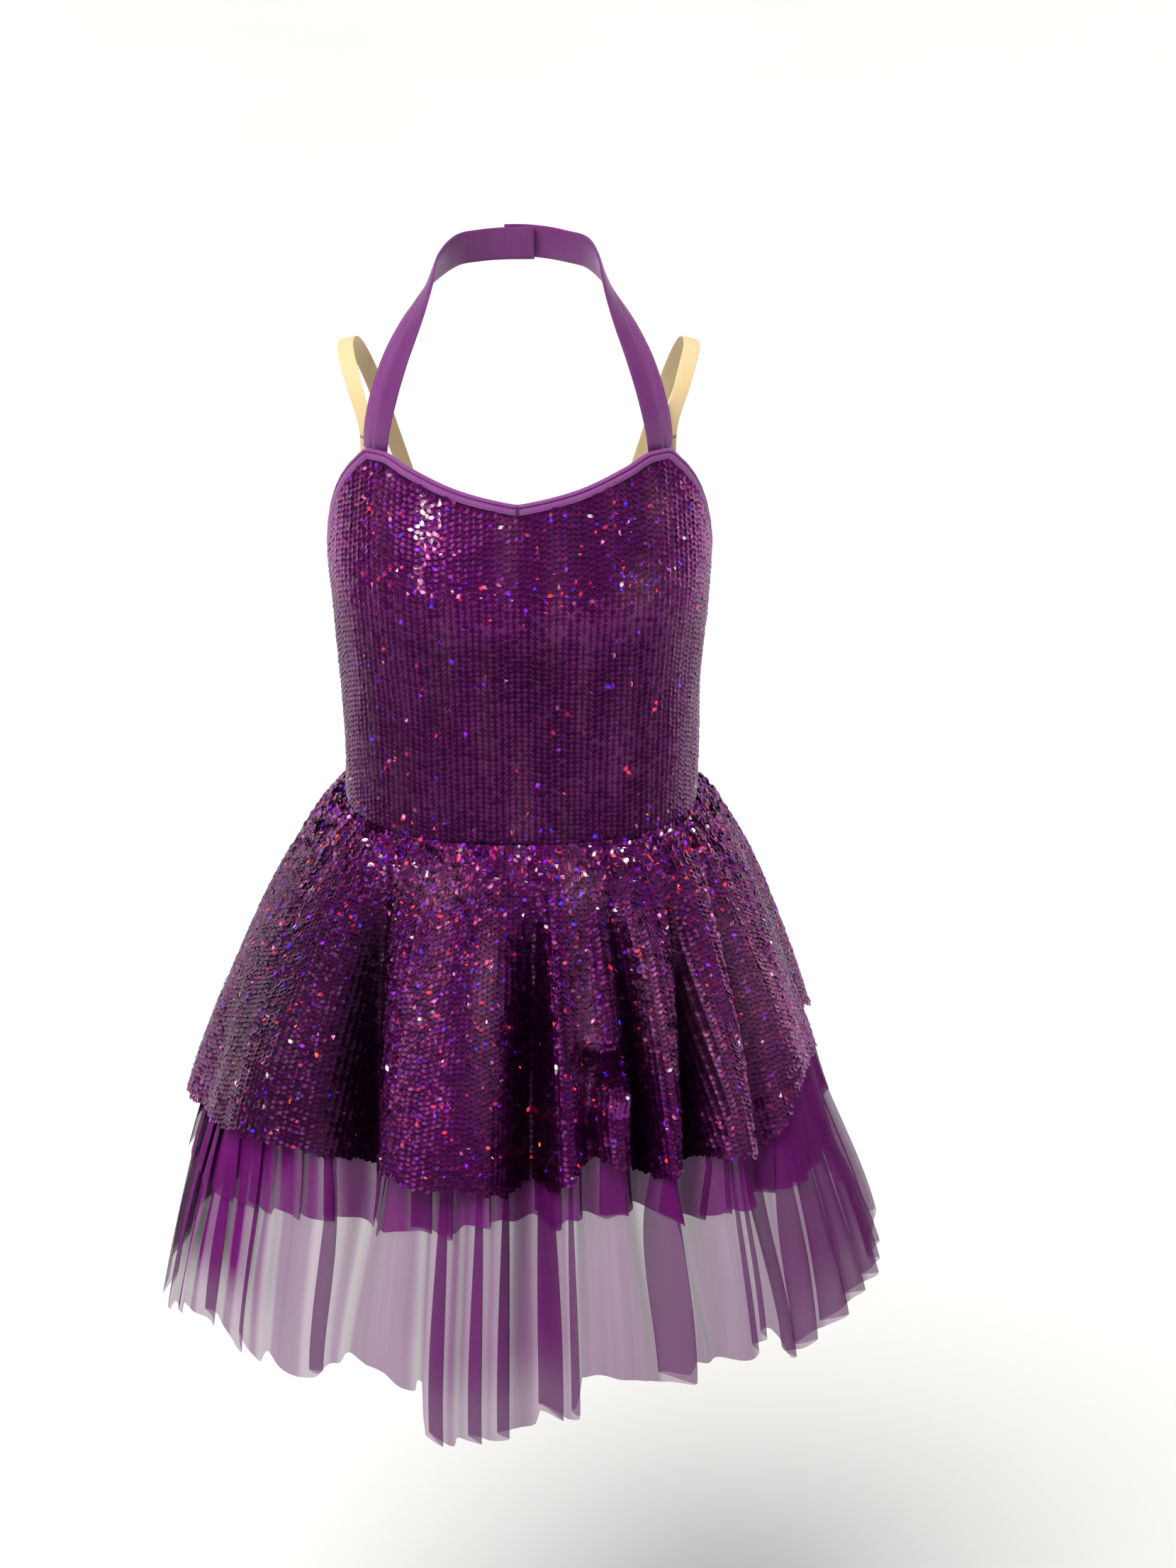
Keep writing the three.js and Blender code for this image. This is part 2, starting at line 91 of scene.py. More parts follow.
# A skirt falls by CLOTH_FALL for each millimetre down its cloth, less REACH_FALL for each it reaches out.
CLOTH_FALL = 0.985
REACH_FALL = 0.00042
SEAM_DROP = 2.4  # from one layer of the skirt to the next, at the seam
BINDING_WIDE = 6
BINDING_THICK = 3.4
BINDING_SPACE = 7.2
BINDING_GROOVE = 0.9  # from the middle of a binding to its stitches
STITCH_PITCH = 3.3
HALTER_WIDE = 20
HALTER_THICK = 2.3
NUDE_WIDE = 10
NUDE_THICK = 1.15
NUDE_RIB = 1.2
BODICE_THICK = 1.0
LINING_THICK = 0.7
LINING_INSIDE = 2.3  # from the outside of the bodice to its lining
SKIRT_THICK = 0.8
BRIEF_THICK = 0.9
GUSSET_THICK = 0.6
GUSSET_INSIDE = 1.6
GUSSET_FROM = 68  # the row of the brief's front where the gusset lining starts
GUSSET_EDGE = 8  # columns of the brief's front that it leaves free at each side
LEG_ELASTIC_THICK = 2.2
LEG_ELASTIC_AWAY = 4  # from the brief's edge to the middle of the elastic
WAIST_ELASTIC_THICK = 1.0
WAIST_ELASTIC_INSIDE = 3.65
WAIST_ELASTIC_RIB = 1.25
LABEL_THICK = 0.35
SEQUIN_SIDES = 10
SEQUIN_HOLE = 0.2  # the hole's share of the width
SEQUIN_DISH = 0.32
SEQUIN_PROUD = 0.95  # from the cloth to the middle of a sequin
COLUMN_PROUD = 0.12  # how far every second column stands out further
GLINT_FACETS = 6  # a sequin glints where any of this many facets would
PLEAT_SPACING = 0.55  # degrees between two points of a pleated net
FLOOR_HEIGHT = -0.78

# Folds of the sequinned skirt: degrees, depth at the hem, half width in degrees, and how many degrees
# the fold has moved at the seam. Crests are negative.
SKIRT_FOLDS = [
    (-30.5, 34, 3.6, -7), (-14, -10, 7, -1), (1.6, 35, 2.4, 1), (6.2, -9, 2.2, 0), (11, 11, 1.9, 4),
    (16, -5, 3, 3), (22.3, 27, 2.3, 0), (26.6, -8, 2.2, 4), (32.6, 27, 2.5, 11), (41, -8, 4, 7),
    (50, 12, 2.6, 9), (64, -4, 6, 0), (90, 12, 4.5, 0), (109, 17, 4.2, 2), (128, 15, 4.6, 0),
    (149, 20, 4.4, -2), (171, 17, 4.6, 0), (-166, 18, 4.6, 1), (-144, 20, 4.6, 0), (-122, 15, 4.6, -1),
    (-101, 14, 4.4, 0), (-78, 4, 5, 0), (-52, -4, 7, 0), (-43, 3, 4, 2),
]
# The crumple low on the front: degrees, length down the cloth, half sizes, how far it stands out.
CRUMPLES = [
    (16, 126, 3.6, 8, -11), (16, 146, 4.5, 11, 9), (13, 104, 3.0, 14, 6), (11, 172, 3.0, 12, -5),
    (19, 158, 2.4, 20, 4), (6, 120, 2.4, 30, 3), (-52, 150, 12, 45, 3), (28, 70, 3.0, 26, 3),
    (45, 95, 2.2, 30, -4),
]
SKIRT_HEM = [  # degrees, height of the hem
    (-180, -196), (-166, -188), (-150, -200), (-130, -193), (-112, -204), (-94, -206), (-80, -198),
    (-72, -192), (-64, -187), (-56, -181), (-48, -181), (-40, -184), (-34, -192), (-30.5, -199),
    (-27, -194), (-22, -186), (-16, -188), (-10, -189), (-5, -195), (-1, -202), (1.6, -203), (4, -198),
    (6, -190), (8.5, -181), (13, -178), (17, -180), (20, -189), (22.3, -196), (25, -195), (28, -188),
    (30, -193), (32.6, -198), (36, -187), (41, -184), (46, -190), (50, -195), (54, -187), (60, -170),
    (66, -161), (78, -160), (88, -158), (98, -163), (112, -182), (130, -192), (150, -188), (166, -199),
    (180, -196),
]
SHORT_TULLE_HEM = [
    (-180, -226), (-140, -233), (-100, -238), (-84, -244), (-76, -240), (-68, -235), (-60, -234),
    (-52, -230), (-44, -228), (-38, -227), (-33, -231), (-29, -236), (-24, -230), (-20, -226),
    (-16, -223), (-10.5, -227), (-8, -219), (-3, -218), (0, -227), (4, -226), (7, -216), (12, -218),
    (17, -215), (22, -222), (26, -221), (31, -230), (35, -230), (38, -224), (43, -227), (48, -225),
    (54, -225), (62, -221), (76, -219), (90, -221), (130, -229), (180, -226),
]
LONG_TULLE_HEM = [
    (-180, -326), (-150, -334), (-120, -338), (-98, -348), (-84, -348), (-76, -336), (-70, -324),
    (-64, -316), (-58, -312), (-52, -315), (-46, -318), (-41, -321), (-36, -323), (-33, -322),
    (-31.4, -316), (-28, -312), (-24, -308), (-20, -309), (-16.5, -315), (-13.8, -317), (-12.8, -349),
    (-10, -350), (-7, -349), (-4, -346), (1.4, -346), (2, -335), (7, -332), (8, -313), (11, -313),
    (18, -315), (22, -320), (25.6, -317), (26.8, -308), (31, -312), (35, -313), (39, -308),
    (42.7, -301), (44, -306), (46, -321), (50, -323), (54, -315), (60, -309), (66, -306), (74, -308),
    (92, -317), (120, -322), (150, -330), (180, -326),
]
# The skirt's sequins are made in quarters: from and to, in degrees.
SKIRT_QUARTERS = {
    "back_right": (-180, -90), "front_right": (-90, 0),
    "front_left": (0, 90), "back_left": (90, 180.01),
}
# Where the long and the short net are pushed together: degrees, half width in degrees, how much.
BUNCHED = [
    (-66, 20, 1.8), (-4, 10.5, 0.9), (3.5, 2.2, 0.4), (68, 21, 0.65), (150, 30, 0.5), (-140, 25, 0.5),
]
# Pleats of the tulle at its hem: degrees, half width in degrees of the strip that lies threefold.
SHORT_PLEATS = [
    (-89, 2.2), (-82, 1.6), (-74.5, 2.4), (-67, 1.6), (-60.5, 2.6), (-53.5, 2.4), (-47.5, 0.7),
    (-41.3, 1.3), (-36, 1.5), (-29.8, 1.2), (-24.8, 0.5), (-16, 2.6), (-10.9, 1.4), (-4, 0.6),
    (3.9, 2.3), (9.5, 0.6), (15.5, 3.0), (21.5, 0.5), (28.5, 3.8), (35.2, 0.5), (39.5, 0.6),
    (45.5, 1.2), (52, 1.6), (58.5, 2.4), (66, 2.4), (74, 2.4), (82, 1.6), (89, 2.2),
]
LONG_PLEATS = [
    (-88, 2.6), (-78.5, 2.8), (-69, 3.2), (-59.5, 3.4), (-49.8, 2.6), (-44, 0.7), (-33.4, 1.9),
    (-29.6, 0.5), (-14.4, 0.5), (-10.9, 1.8), (-7.9, 0.4), (-5.3, 1.4), (-1.8, 1.1), (3.4, 1.9),
    (6.7, 0.9), (23.6, 2.6), (38.8, 0.5), (41.2, 0.5), (46.5, 1.6), (51.5, 2.0), (58, 2.8), (66, 2.8),
    (74, 2.4), (81, 1.5), (87, 1.8),
]

# Straps: x, y, z of the middle line and the direction its flat side faces.
HALTER_FRONT = [
    (83.5, -47.5, 240, 0.7, -0.71, 0.08), (82.5, -48.5, 253, 0.62, -0.74, 0.28),
    (78.5, -46, 272, 0.52, -0.7, 0.5), (71.5, -38, 293, 0.52, -0.58, 0.63),
    (61.5, -22, 313, 0.68, -0.38, 0.62), (53.5, -4, 326, 0.88, -0.12, 0.42),
    (48.5, 14, 332, 0.93, 0.2, 0.22),
]
HALTER_HINGE = (40, 33.5, 336, 0.78, 0.62, 0.05)
HALTER_BEHIND = [
    (36, 38, 336, 0.68, 0.74, 0.05), (24, 46, 336, 0.44, 0.9, 0.03),
    (11, 50, 336, 0.2, 0.98, 0), (-9, 51, 336, -0.1, 1, 0),
]
LAPPED_END = [
    (29, 44, 336, 0.58, 0.8, 0.03), (16, 52.5, 336, 0.42, 0.9, 0),
    (3, 56.6, 336, 0.06, 1, 0), (-9, 56.6, 336, 0, 1, 0),
]
# The nude straps' middle line: x, y, z and the direction its flat side faces, for the left strap; the right
# one is mirrored.
NUDE_PATH = [
    (89.5, -36.5, 233, 0.74, -0.66, 0.1), (90, -38, 254, 0.6, -0.74, 0.3),
    (96.5, -31, 277, 0.45, -0.62, 0.64), (102, -8, 291, 0.28, -0.16, 0.95),
    (100, 18, 287, 0.25, 0.5, 0.83), (91, 49, 256, 0.4, 0.8, 0.4),
    (79, 64, 212, 0.45, 0.86, 0.18), (66.5, 71, 166, 0.48, 0.86, 0.06),
    (61.5, 68.5, 136, 0.52, 0.85, 0),
]
# Rows of the brief from the waist to the gusset: half width, y and z of the middle, y and z of the edge.
BRIEF_ROWS = {
    "front": [
        (107, -80, -2.5, 0, -2.5), (116, -91, -48, 0, -48), (121, -97, -92, 0, -92),
        (97, -94, -130, -34, -118), (63, -79, -166, -48, -150), (38, -46, -193, -37, -185),
        (32, -2.2, -204, -2.2, -199),
    ],
    "back": [
        (107, 82, -2.5, 0, -2.5), (116, 97, -48, 0, -48), (121, 105, -92, 0, -92),
        (108, 103, -136, 42, -122), (79, 86, -172, 55, -159), (46, 50, -197, 44, -190),
        (32, 2.2, -204, 2.2, -199),
    ],
}
SIDE_SEAM = 1 / 3


# ---- Shapes from tables ----
def smoothstep(x, low, high):
    t = np.clip((np.asarray(x, float) - low) / (high - low), 0, 1)
    return t * t * (3 - 2 * t)


def read(table, at, column=1):
    """A smooth curve through a table's rows, read at one place or many. It never swings past a row."""
    rows = np.array(table, float)
    x, y = rows[:, 0], rows[:, column]
    rise = np.diff(y) / np.diff(x)
    slope = np.concatenate([rise[:1], np.zeros(len(x) - 2), rise[-1:]])
    before, after = rise[:-1], rise[1:]
    same = before * after > 0
    slope[1:-1][same] = 2 * before[same] * after[same] / (before[same] + after[same])
    at = np.clip(np.asarray(at, float), x[0], x[-1])
    i = np.clip(np.searchsorted(x, at, side="right") - 1, 0, len(x) - 2)
    span = x[i + 1] - x[i]
    t = (at - x[i]) / span
    t2, t3 = t * t, t * t * t
    start = (2 * t3 - 3 * t2 + 1) * y[i] + (t3 - 2 * t2 + t) * span * slope[i]
    return start + (3 * t2 - 2 * t3) * y[i + 1] + (t3 - t2) * span * slope[i + 1]


def wrap(degrees):
    return (np.asarray(degrees, float) + 180) % 360 - 180


def oval(degrees, half_width, front, back):
    s, c = np.sin(np.radians(degrees)), np.cos(np.radians(degrees))
    depth = np.where(c > 0, front, back)
    x = half_width * np.sign(s) * np.abs(s) ** OVAL_POWER
    return x, -depth * np.sign(c) * np.abs(c) ** OVAL_POWER


def body_point(degrees, height):
    x, y = oval(degrees, read(BODY, height, 1), read(BODY, height, 2), read(BODY, height, 3))
    return np.stack([x, y, height + 0 * x], axis=-1)


def top_edge(degrees):
    away = np.abs(wrap(degrees))
    return read(TOP_EDGE, away)


def drop_across(degrees, width):
    """Height below the top edge that measures `width` square to the edge."""
    degrees, step = np.asarray(degrees), 0.5
    rise = (top_edge(degrees + step) - top_edge(degrees - step)) / (2 * math.radians(step))
    flat = body_point(degrees, top_edge(degrees))[..., :2]
    return width * np.hypot(1, rise / np.linalg.norm(flat, axis=-1))


def ripples(degrees, height, size):
    """Soft unevenness of worn cloth, from -size to size."""
    a = np.radians(degrees)
    waves = np.sin(5 * a + height / 23 + 1.3) * np.sin(height / 31 - 2 * a + 0.4)
    waves = waves + 0.6 * np.sin(9 * a - height / 17 + 2.1) + 0.5 * np.sin(14 * a + height / 41 + 0.2)
    return size * waves / 2.1


def bodice_point(degrees, height):
    """The outside of the bodice's cloth, eased by how it sits on a body."""
    point = body_point(degrees, height)
    calm = smoothstep(top_edge(degrees) - height, 6, 30) * smoothstep(height, 2, 25)
    out = point * [1, 1, 0]
    out = out / np.linalg.norm(out, axis=-1, keepdims=True)
    return point + out * (ripples(degrees, height, 0.9) * calm)[..., None]


def unit(v):
    return v / np.maximum(np.linalg.norm(v, axis=-1, keepdims=True), 1e-12)


def normal_of(point, u, v, step=0.05):
    du = point(u + step, v) - point(u - step, v)
    dv = point(u, v + step) - point(u, v - step)
    return unit(np.cross(du, dv))


def fold_depth(degrees, down):
    """How far the folds sink the skirt at one place."""
    total = 0 * degrees
    up = 1 - np.minimum(down / SKIRT_LONG, 1)
    for middle, deep, half, moved in SKIRT_FOLDS:
        away = wrap(degrees - middle - moved * up)
        total = total + deep * np.exp(-((away / half) ** 2) / 2)
    return total


def skirt_point(degrees, down, inside=0):
    """A point of a skirt layer, `down` along the cloth from the seam. `inside` counts layers inwards."""
    degrees, down = np.broadcast_arrays(np.asarray(degrees, float), np.asarray(down, float))
    round_to = wrap(degrees)
    reach = read(REACH, round_to)
    gathers = np.minimum(down / 8, 1)
    grown = smoothstep(down, 3, 190) * 0.75 + 0.25 * smoothstep(down, 3, 60)
    evened = smoothstep(down, SKIRT_LONG, TULLE_LONG)
    seam = 2.9 - inside * 1.2
    out = 4.6 - inside * (2 + 1.6 * gathers) - seam * np.exp(-down / 4) + 6.5 * (1 - np.exp(-down / 20))
    out = out + reach * (1 - np.exp(-down / REACH_LONG)) + 0.5 * (WIDEST_REACH - reach) * evened
    depth = fold_depth(round_to, down) * grown * (1 - 0.6 * evened)
    depth = depth if inside == 0 else depth.clip(min=0) + 1.5 * grown
    out = out - depth
    if inside == 0:
        out = out + skirt_detail(round_to, down)
    widths = [read(BODY, WAIST_HEIGHT, column) + out for column in (1, 2, 3)]
    x, y = oval(degrees, *widths)
    drop = down * (CLOTH_FALL - REACH_FALL * reach) - 3 * (1 - np.exp(-down / 20))
    return np.stack([x, y, -1 - drop - inside * SEAM_DROP * gathers], axis=-1)


def skirt_detail(degrees, down):
    """Gathers under the seam, small wrinkles and the crumple low on the front."""
    a = np.radians(degrees)
    near = np.exp(-down / 34) * np.minimum(down / 5, 1)
    gathers = 0.9 * np.sin(31 * a + 1.6 * np.sin(5 * a)) + 0.5 * np.sin(53 * a + 2 * np.sin(3 * a))
    small = 1.1 * np.sin(11 * a + down / 38 + 1.5 * np.sin(4 * a)) * smoothstep(down, 20, 120)
    small = small + 0.5 * np.sin(23 * a - down / 27 + 2 * np.sin(6 * a)) * smoothstep(down, 40, 150)
    crumple = 0
    for at, low, wide, tall, deep in CRUMPLES:
        crumple = crumple + deep * np.exp(-((degrees - at) / wide) ** 2 - ((down - low) / tall) ** 2)
    return near * gathers + small + crumple


def hem_down(hem, degrees, inside):
    """Length of cloth down to a hem given by its height."""
    reach = read(REACH, wrap(degrees))
    return (2 - SEAM_DROP * inside - read(hem, wrap(degrees))) / (CLOTH_FALL - REACH_FALL * reach)


def back_pleats(seed, low, high, gap, wide):
    """Pleats round the back, at uneven distances."""
    rng = np.random.default_rng(seed)
    pleats, at = [], low
    while at < high:
        half = rng.uniform(*wide)
        pleats.append((at + half, half))
        at += 2 * half + rng.uniform(*gap)
    return pleats


def soften(values, width, turn=0.0):
    """Averages a list that closes on itself, growing by `turn` each time round."""
    reach = int(3 * width)
    weights = np.exp(-(np.arange(-reach, reach + 1) / width) ** 2 / 2)
    longer = np.concatenate([values[-reach:] - turn, values, values[:reach] + turn])
    return np.convolve(longer, weights / weights.sum(), mode="valid")


def fold_plan(pleats):
    """Across a pleated sheet: each point's place at the seam and at the hem, its ply, crease and fold."""
    keys = [(-180.0, 0.0)]
    for middle, half in sorted(pleats):
        keys += [(middle + half, 0.5), (middle - half, -0.5)]
    keys.append((180.0, 0.0))
    keys = np.array(keys)
    walked = np.concatenate([[0], np.cumsum(np.abs(np.diff(keys[:, 0])))])
    at = np.linspace(0, walked[-1], int(walked[-1] / PLEAT_SPACING) + 1)[:-1]
    folded = np.interp(at, walked, keys[:, 0])
    ply = np.interp(at, walked, keys[:, 1])
    turns = walked[1:-1]
    nearest = np.abs(at[:, None] - turns[None, :]).min(axis=1)
    middles, halves = np.array(pleats).T
    plies = (np.abs(wrap(folded[:, None] - middles)) < halves).any(axis=1) * 1.0
    crease = np.exp(-(nearest / 0.55) ** 2)
    top = soften(folded, 7 / PLEAT_SPACING, 360)
    return top, soften(folded, 0.9, 360), soften(ply, 1.0), crease, soften(plies, 0.7)


# ---- Meshes ----
def mesh_object(name, points, faces, slot, kind=None, body=GARMENT, smooth=True):
    """A mesh piece from points in millimetres. Its finish is its slot's, or else of the kind given."""
    mesh = bpy.data.meshes.new(name)
    mesh.from_pydata((np.asarray(points, float).reshape(-1, 3) * MM).tolist(), [], [list(f) for f in faces])
    mesh.validate()
    mesh.update()
    mesh.polygons.foreach_set("use_smooth", [smooth] * len(mesh.polygons))
    obj = bpy.data.objects.new(name, mesh)
    bpy.context.scene.collection.objects.link(obj)
    mesh.materials.append(finish(kind or slot))
    if body:
        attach(obj, body)
    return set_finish(obj, slot)


def grid_faces(rows, columns, ring=False, first=0):
    """Quads of a grid stored row by row."""
    i, j = np.meshgrid(np.arange(rows - 1), np.arange(columns if ring else columns - 1), indexing="ij")
    a = i * columns + j
    b = i * columns + (j + 1) % columns
    quads = np.stack([a, b, b + columns, a + columns], axis=-1).reshape(-1, 4)
    return (quads + first).tolist()


def outward(obj):
    """Turns all faces of a closed piece outwards."""
    bm = bmesh.new()
    bm.from_mesh(obj.data)
    bmesh.ops.recalc_face_normals(bm, faces=bm.faces)
    bm.to_mesh(obj.data)
    bm.free()
    return obj


def cloth(name, points, slot, kind=None, thick=0.0, ring=False, held=None, **declared):
    """A sheet of cloth over a grid of points, with thickness inwards."""
    points = np.asarray(points, float)
    rows, columns = points.shape[:2]
    obj = mesh_object(name, points, grid_faces(rows, columns, ring), slot, kind)
    if thick:
        solid = obj.modifiers.new("Thickness", "SOLIDIFY")
        solid.thickness = thick * MM
        solid.offset = -1
        solid.use_even_offset = False
    if held:
        closed = np.concatenate([points, points[:, :1]], axis=1) if ring else points
        across = np.linalg.norm(np.diff(closed, axis=1), axis=-1).sum(axis=1).max()
        along = np.linalg.norm(np.diff(closed, axis=0), axis=-1).sum(axis=0).max()
        du, dv = closed[:-1, 1:] - closed[:-1, :-1], closed[1:, :-1] - closed[:-1, :-1]
        area = np.linalg.norm(np.cross(du, dv), axis=-1).sum()
        across * MM
        along * MM
        area * MM * MM
    return obj


def path_through(rows, count, side=1):
    """A smooth path of `count` steps through rows of x, y, z and a facing, mirrored for the right side."""
    points = np.array(rows, float)
    ends = [2 * points[0] - points[1], 2 * points[-1] - points[-2]]
    p = np.concatenate([ends[:1], points, ends[1:]])
    gaps = np.sqrt(np.maximum(np.linalg.norm(np.diff(p[:, :3], axis=0), axis=1), 1e-6))
    out = []
    for t in np.linspace(0, len(points) - 1, count + 1):
        i = min(int(t), len(points) - 2)
        w = t - i
        a, b, c, d = p[i], p[i + 1], p[i + 2], p[i + 3]
        g0, g1, g2 = gaps[i], gaps[i + 1], gaps[i + 2]
        m1 = ((b - a) / g0 - (c - a) / (g0 + g1) + (c - b) / g1) * g1
        m2 = ((c - b) / g1 - (d - b) / (g1 + g2) + (d - c) / g2) * g1
        w2, w3 = w * w, w * w * w
        start = (2 * w3 - 3 * w2 + 1) * b + (w3 - 2 * w2 + w) * m1
        out.append(start + (3 * w2 - 2 * w3) * c + (w3 - w2) * m2)
    out = np.array(out)
    flip = np.array([side, 1, 1])
    return out[:, :3] * flip, unit(out[:, 3:]) * flip


def rails(places, facings, loop=False):
    """Directions along, across and out of a band. Across points down or inwards on both sides."""
    if loop:
        along = np.roll(places, -1, axis=0) - np.roll(places, 1, axis=0)
    else:
        along = np.gradient(places, axis=0)
    along = unit(along)
    across = unit(np.cross(along, facings))
    return along, across, np.cross(across, along)


def band(places, facings, profile, hand=1, loop=False):
    """Points and faces of a band with the given closed profile of (across, out)."""
    _, across, out = rails(places, facings, loop)
    profile = np.asarray(profile, float)
    if profile.ndim == 2:
        profile = np.repeat(profile[None], len(places), axis=0)
    points = places[:, None] + across[:, None] * profile[..., :1] * hand + out[:, None] * profile[..., 1:]
    count, around = profile.shape[:2]
    if loop:
        points = np.concatenate([points, points[:1]])
        count += 1
    faces = grid_faces(count, around, ring=True)
    if loop:
        last = (count - 1) * around
        faces = [[i - last if i >= last else i for i in face] for face in faces]
        points = points[:-1]
    else:
        faces.append(list(range(around)))
        faces.append([(count - 1) * around + k for k in reversed(range(around))])
    return points.reshape(-1, 3), faces


def band_uv(obj, count, around):
    """A UV map that runs across a band in u and along it in v."""
    layer = obj.data.uv_layers.new(name="Along")
    index = np.zeros(len(obj.data.loops), np.int32)
    obj.data.loops.foreach_get("vertex_index", index)
    u = (index % around) / around
    v = (index // around) / max(count - 1, 1)
    layer.data.foreach_set("uv", np.stack([u, v], axis=1).ravel())
    return obj


def flat_profile(wide, thick, dents=(), samples=22, crown=0.25):
    """Closed profile of a flattened tube. Dents are (place across, half width, depth) on the outer side."""
    a = np.cos(np.linspace(0, math.pi, samples))
    edge = (1 - np.abs(a) ** 6) ** 0.5
    top = thick / 2 * edge + crown * (1 - a * a)
    for place, half, deep in dents:
        top = top - deep * np.exp(-(((a * wide / 2) - place) / half) ** 2) * edge
    bottom = -thick / 2 * edge
    upper = np.stack([a * wide / 2, top], axis=1)
    lower = np.stack([a * wide / 2, bottom], axis=1)[::-1][1:-1]
    return np.concatenate([upper, lower])


def threads(name, places, along, out, long, thick, kind="thread"):
    """Short stitches, one at each place, lying along the seam."""
    along, out = (np.broadcast_to(way, places.shape) for way in (along, out))
    side = np.cross(along, out)
    t = np.linspace(-1, 1, 7)
    ring = np.linspace(0, 2 * math.pi, 7)[:-1]
    arch = (1 - t * t) ** 0.5
    points, faces = [], []
    for p, a, o, s in zip(places, along, out, side):
        first = len(points) * 42
        width = thick / 2 * (0.35 + 0.65 * arch)
        line = p + a * (t[:, None] * long / 2) + o * (0.35 * arch[:, None] - 0.1)
        tube = line[:, None] + s * (np.cos(ring)[None, :, None] * width[:, None, None])
        tube = tube + o * (np.sin(ring)[None, :, None] * width[:, None, None])
        points.append(tube.reshape(-1, 3))
        faces += grid_faces(7, 6, ring=True, first=first)
        faces += [[first + k for k in range(6)], [first + 36 + k for k in reversed(range(6))]]
    return outward(mesh_object(name, np.concatenate(points), faces, "thread", kind))


def sewn_band(name, line, profile, hand, slot, kind=None, loop=False, body=GARMENT):
    """A closed band along a line of places and facings."""
    points, faces = band(*line, profile, hand, loop)
    return outward(mesh_object(name, points, faces, slot, kind, body))


def swelling(profile, swell):
    """The profile at each place of a band, its thickness times the swell there."""
    return profile[None] * np.stack([1 + 0 * swell, swell], axis=1)[:, None]


# ---- Finishes ----
# Across the strap: place, level. The half with the painted highlight ends at the crease; the other half gets
# painted shade.
STRAP_SHEEN = ((0.12, 0.75), (0.2, 1.0), (0.235, 0.35), (0.3, 0.1), (0.42, 0.2))
GREY_SATIN = (0.25, 0.25, 0.25)


class Wire:
    """A node socket that can be used in sums."""

    def __init__(self, finish, socket):
        self.finish = finish
        self.socket = socket

    def sum(self, operation, first, second):
        node = self.finish.node("ShaderNodeMath", {"operation": operation}, {0: first, 1: second})
        return Wire(self.finish, node.outputs[0])

    def __add__(self, other):
        return self.sum("ADD", self, other)

    def __radd__(self, other):
        return self.sum("ADD", other, self)

    def __sub__(self, other):
        return self.sum("SUBTRACT", self, other)

    def __rsub__(self, other):
        return self.sum("SUBTRACT", other, self)

    def __mul__(self, other):
        return self.sum("MULTIPLY", self, other)

    def __rmul__(self, other):
        return self.sum("MULTIPLY", other, self)


class Nodes:
    """A node tree and the one method that adds its nodes."""

    def __init__(self, tree):
        self.tree = tree

    def set(self, node, socket, value):
        target = node.inputs[socket]
        if isinstance(value, Wire):
            self.tree.links.new(value.socket, target)
        elif hasattr(value, "__len__") and len(value) == 3 and target.type == "RGBA":
            target.default_value = (*value, 1)
        else:
            target.default_value = value

    def node(self, kind, settings=None, inputs=None):
        node = self.tree.nodes.new(kind)
        for key, value in (settings or {}).items():
            setattr(node, key, value)
        for socket, value in (inputs or {}).items():
            self.set(node, socket, value)
        return node

    def wire(self, kind, settings=None, inputs=None, output=0):
        return Wire(self, self.node(kind, settings, inputs).outputs[output])

    def blend(self, factor, first, second):
        return self.wire("ShaderNodeMix", {"data_type": "RGBA"}, {0: factor, 6: first, 7: second}, 2)

    def split(self, vector, count=3):
        parts = self.node("ShaderNodeSeparateXYZ", inputs={0: vector})
        return [Wire(self, parts.outputs[i]) for i in range(count)]


class Finish(Nodes):
    """A material and the nodes that feed its shader."""

    def __init__(self, name, **plain):
        self.material = bpy.data.materials.new(name)
        self.material.use_nodes = True
        super().__init__(self.material.node_tree)
        self.shader = self.tree.nodes["Principled BSDF"]
        for socket, value in plain.items():
            self.feed(socket.replace("_", " "), value)

    def place(self):
        return self.wire("ShaderNodeTexCoord", output="Object")

    def noise(self, scale, detail=2.0, rough=0.5, at=None):
        inputs = {"Vector": at or self.place(), "Scale": scale, "Detail": detail, "Roughness": rough}
        return self.wire("ShaderNodeTexNoise", inputs=inputs)

    def weave(self, across, scale, at=None, twist=0.0):
        """Fine parallel threads, `scale` to the metre."""
        settings = {"wave_type": "BANDS", "bands_direction": across, "wave_profile": "SIN"}
        inputs = {"Vector": at or self.place(), "Scale": scale / 2, "Distortion": twist, "Detail": 1.0}
        return self.wire("ShaderNodeTexWave", settings, inputs, "Fac")

    def along(self):
        return self.wire("ShaderNodeUVMap", {"uv_map": "Along"}, output="UV")

    def attribute(self, name, output="Color"):
        return self.wire("ShaderNodeAttribute", {"attribute_name": name}, output=output)

    def relief(self, height, depth, strength=1.0):
        inputs = {"Height": height, "Distance": depth, "Strength": strength}
        self.feed("Normal", self.wire("ShaderNodeBump", inputs=inputs, output="Normal"))

    def feed(self, socket, wire):
        self.set(self.shader, socket, wire)


def colours():
    return bpy.context.scene.leotard_colours


def sizes():
    return bpy.context.scene.leotard_sizes


FINISHES = {}


def finish(kind):
    """The named finish, made the first time it is asked for."""
    if kind not in FINISHES:
        FINISHES[kind] = MAKERS[kind](kind).material
    return FINISHES[kind]


def darker(colour, share):
    return tuple(c * share for c in colour)


def satin_sheen(name, weight):
    f = Finish(name, Sheen_Roughness=0.35, IOR=1.48, Sheen_Weight=weight)
    f.set(f.shader, "Sheen Tint", (0.9, 0.6, 1.0))
    return f


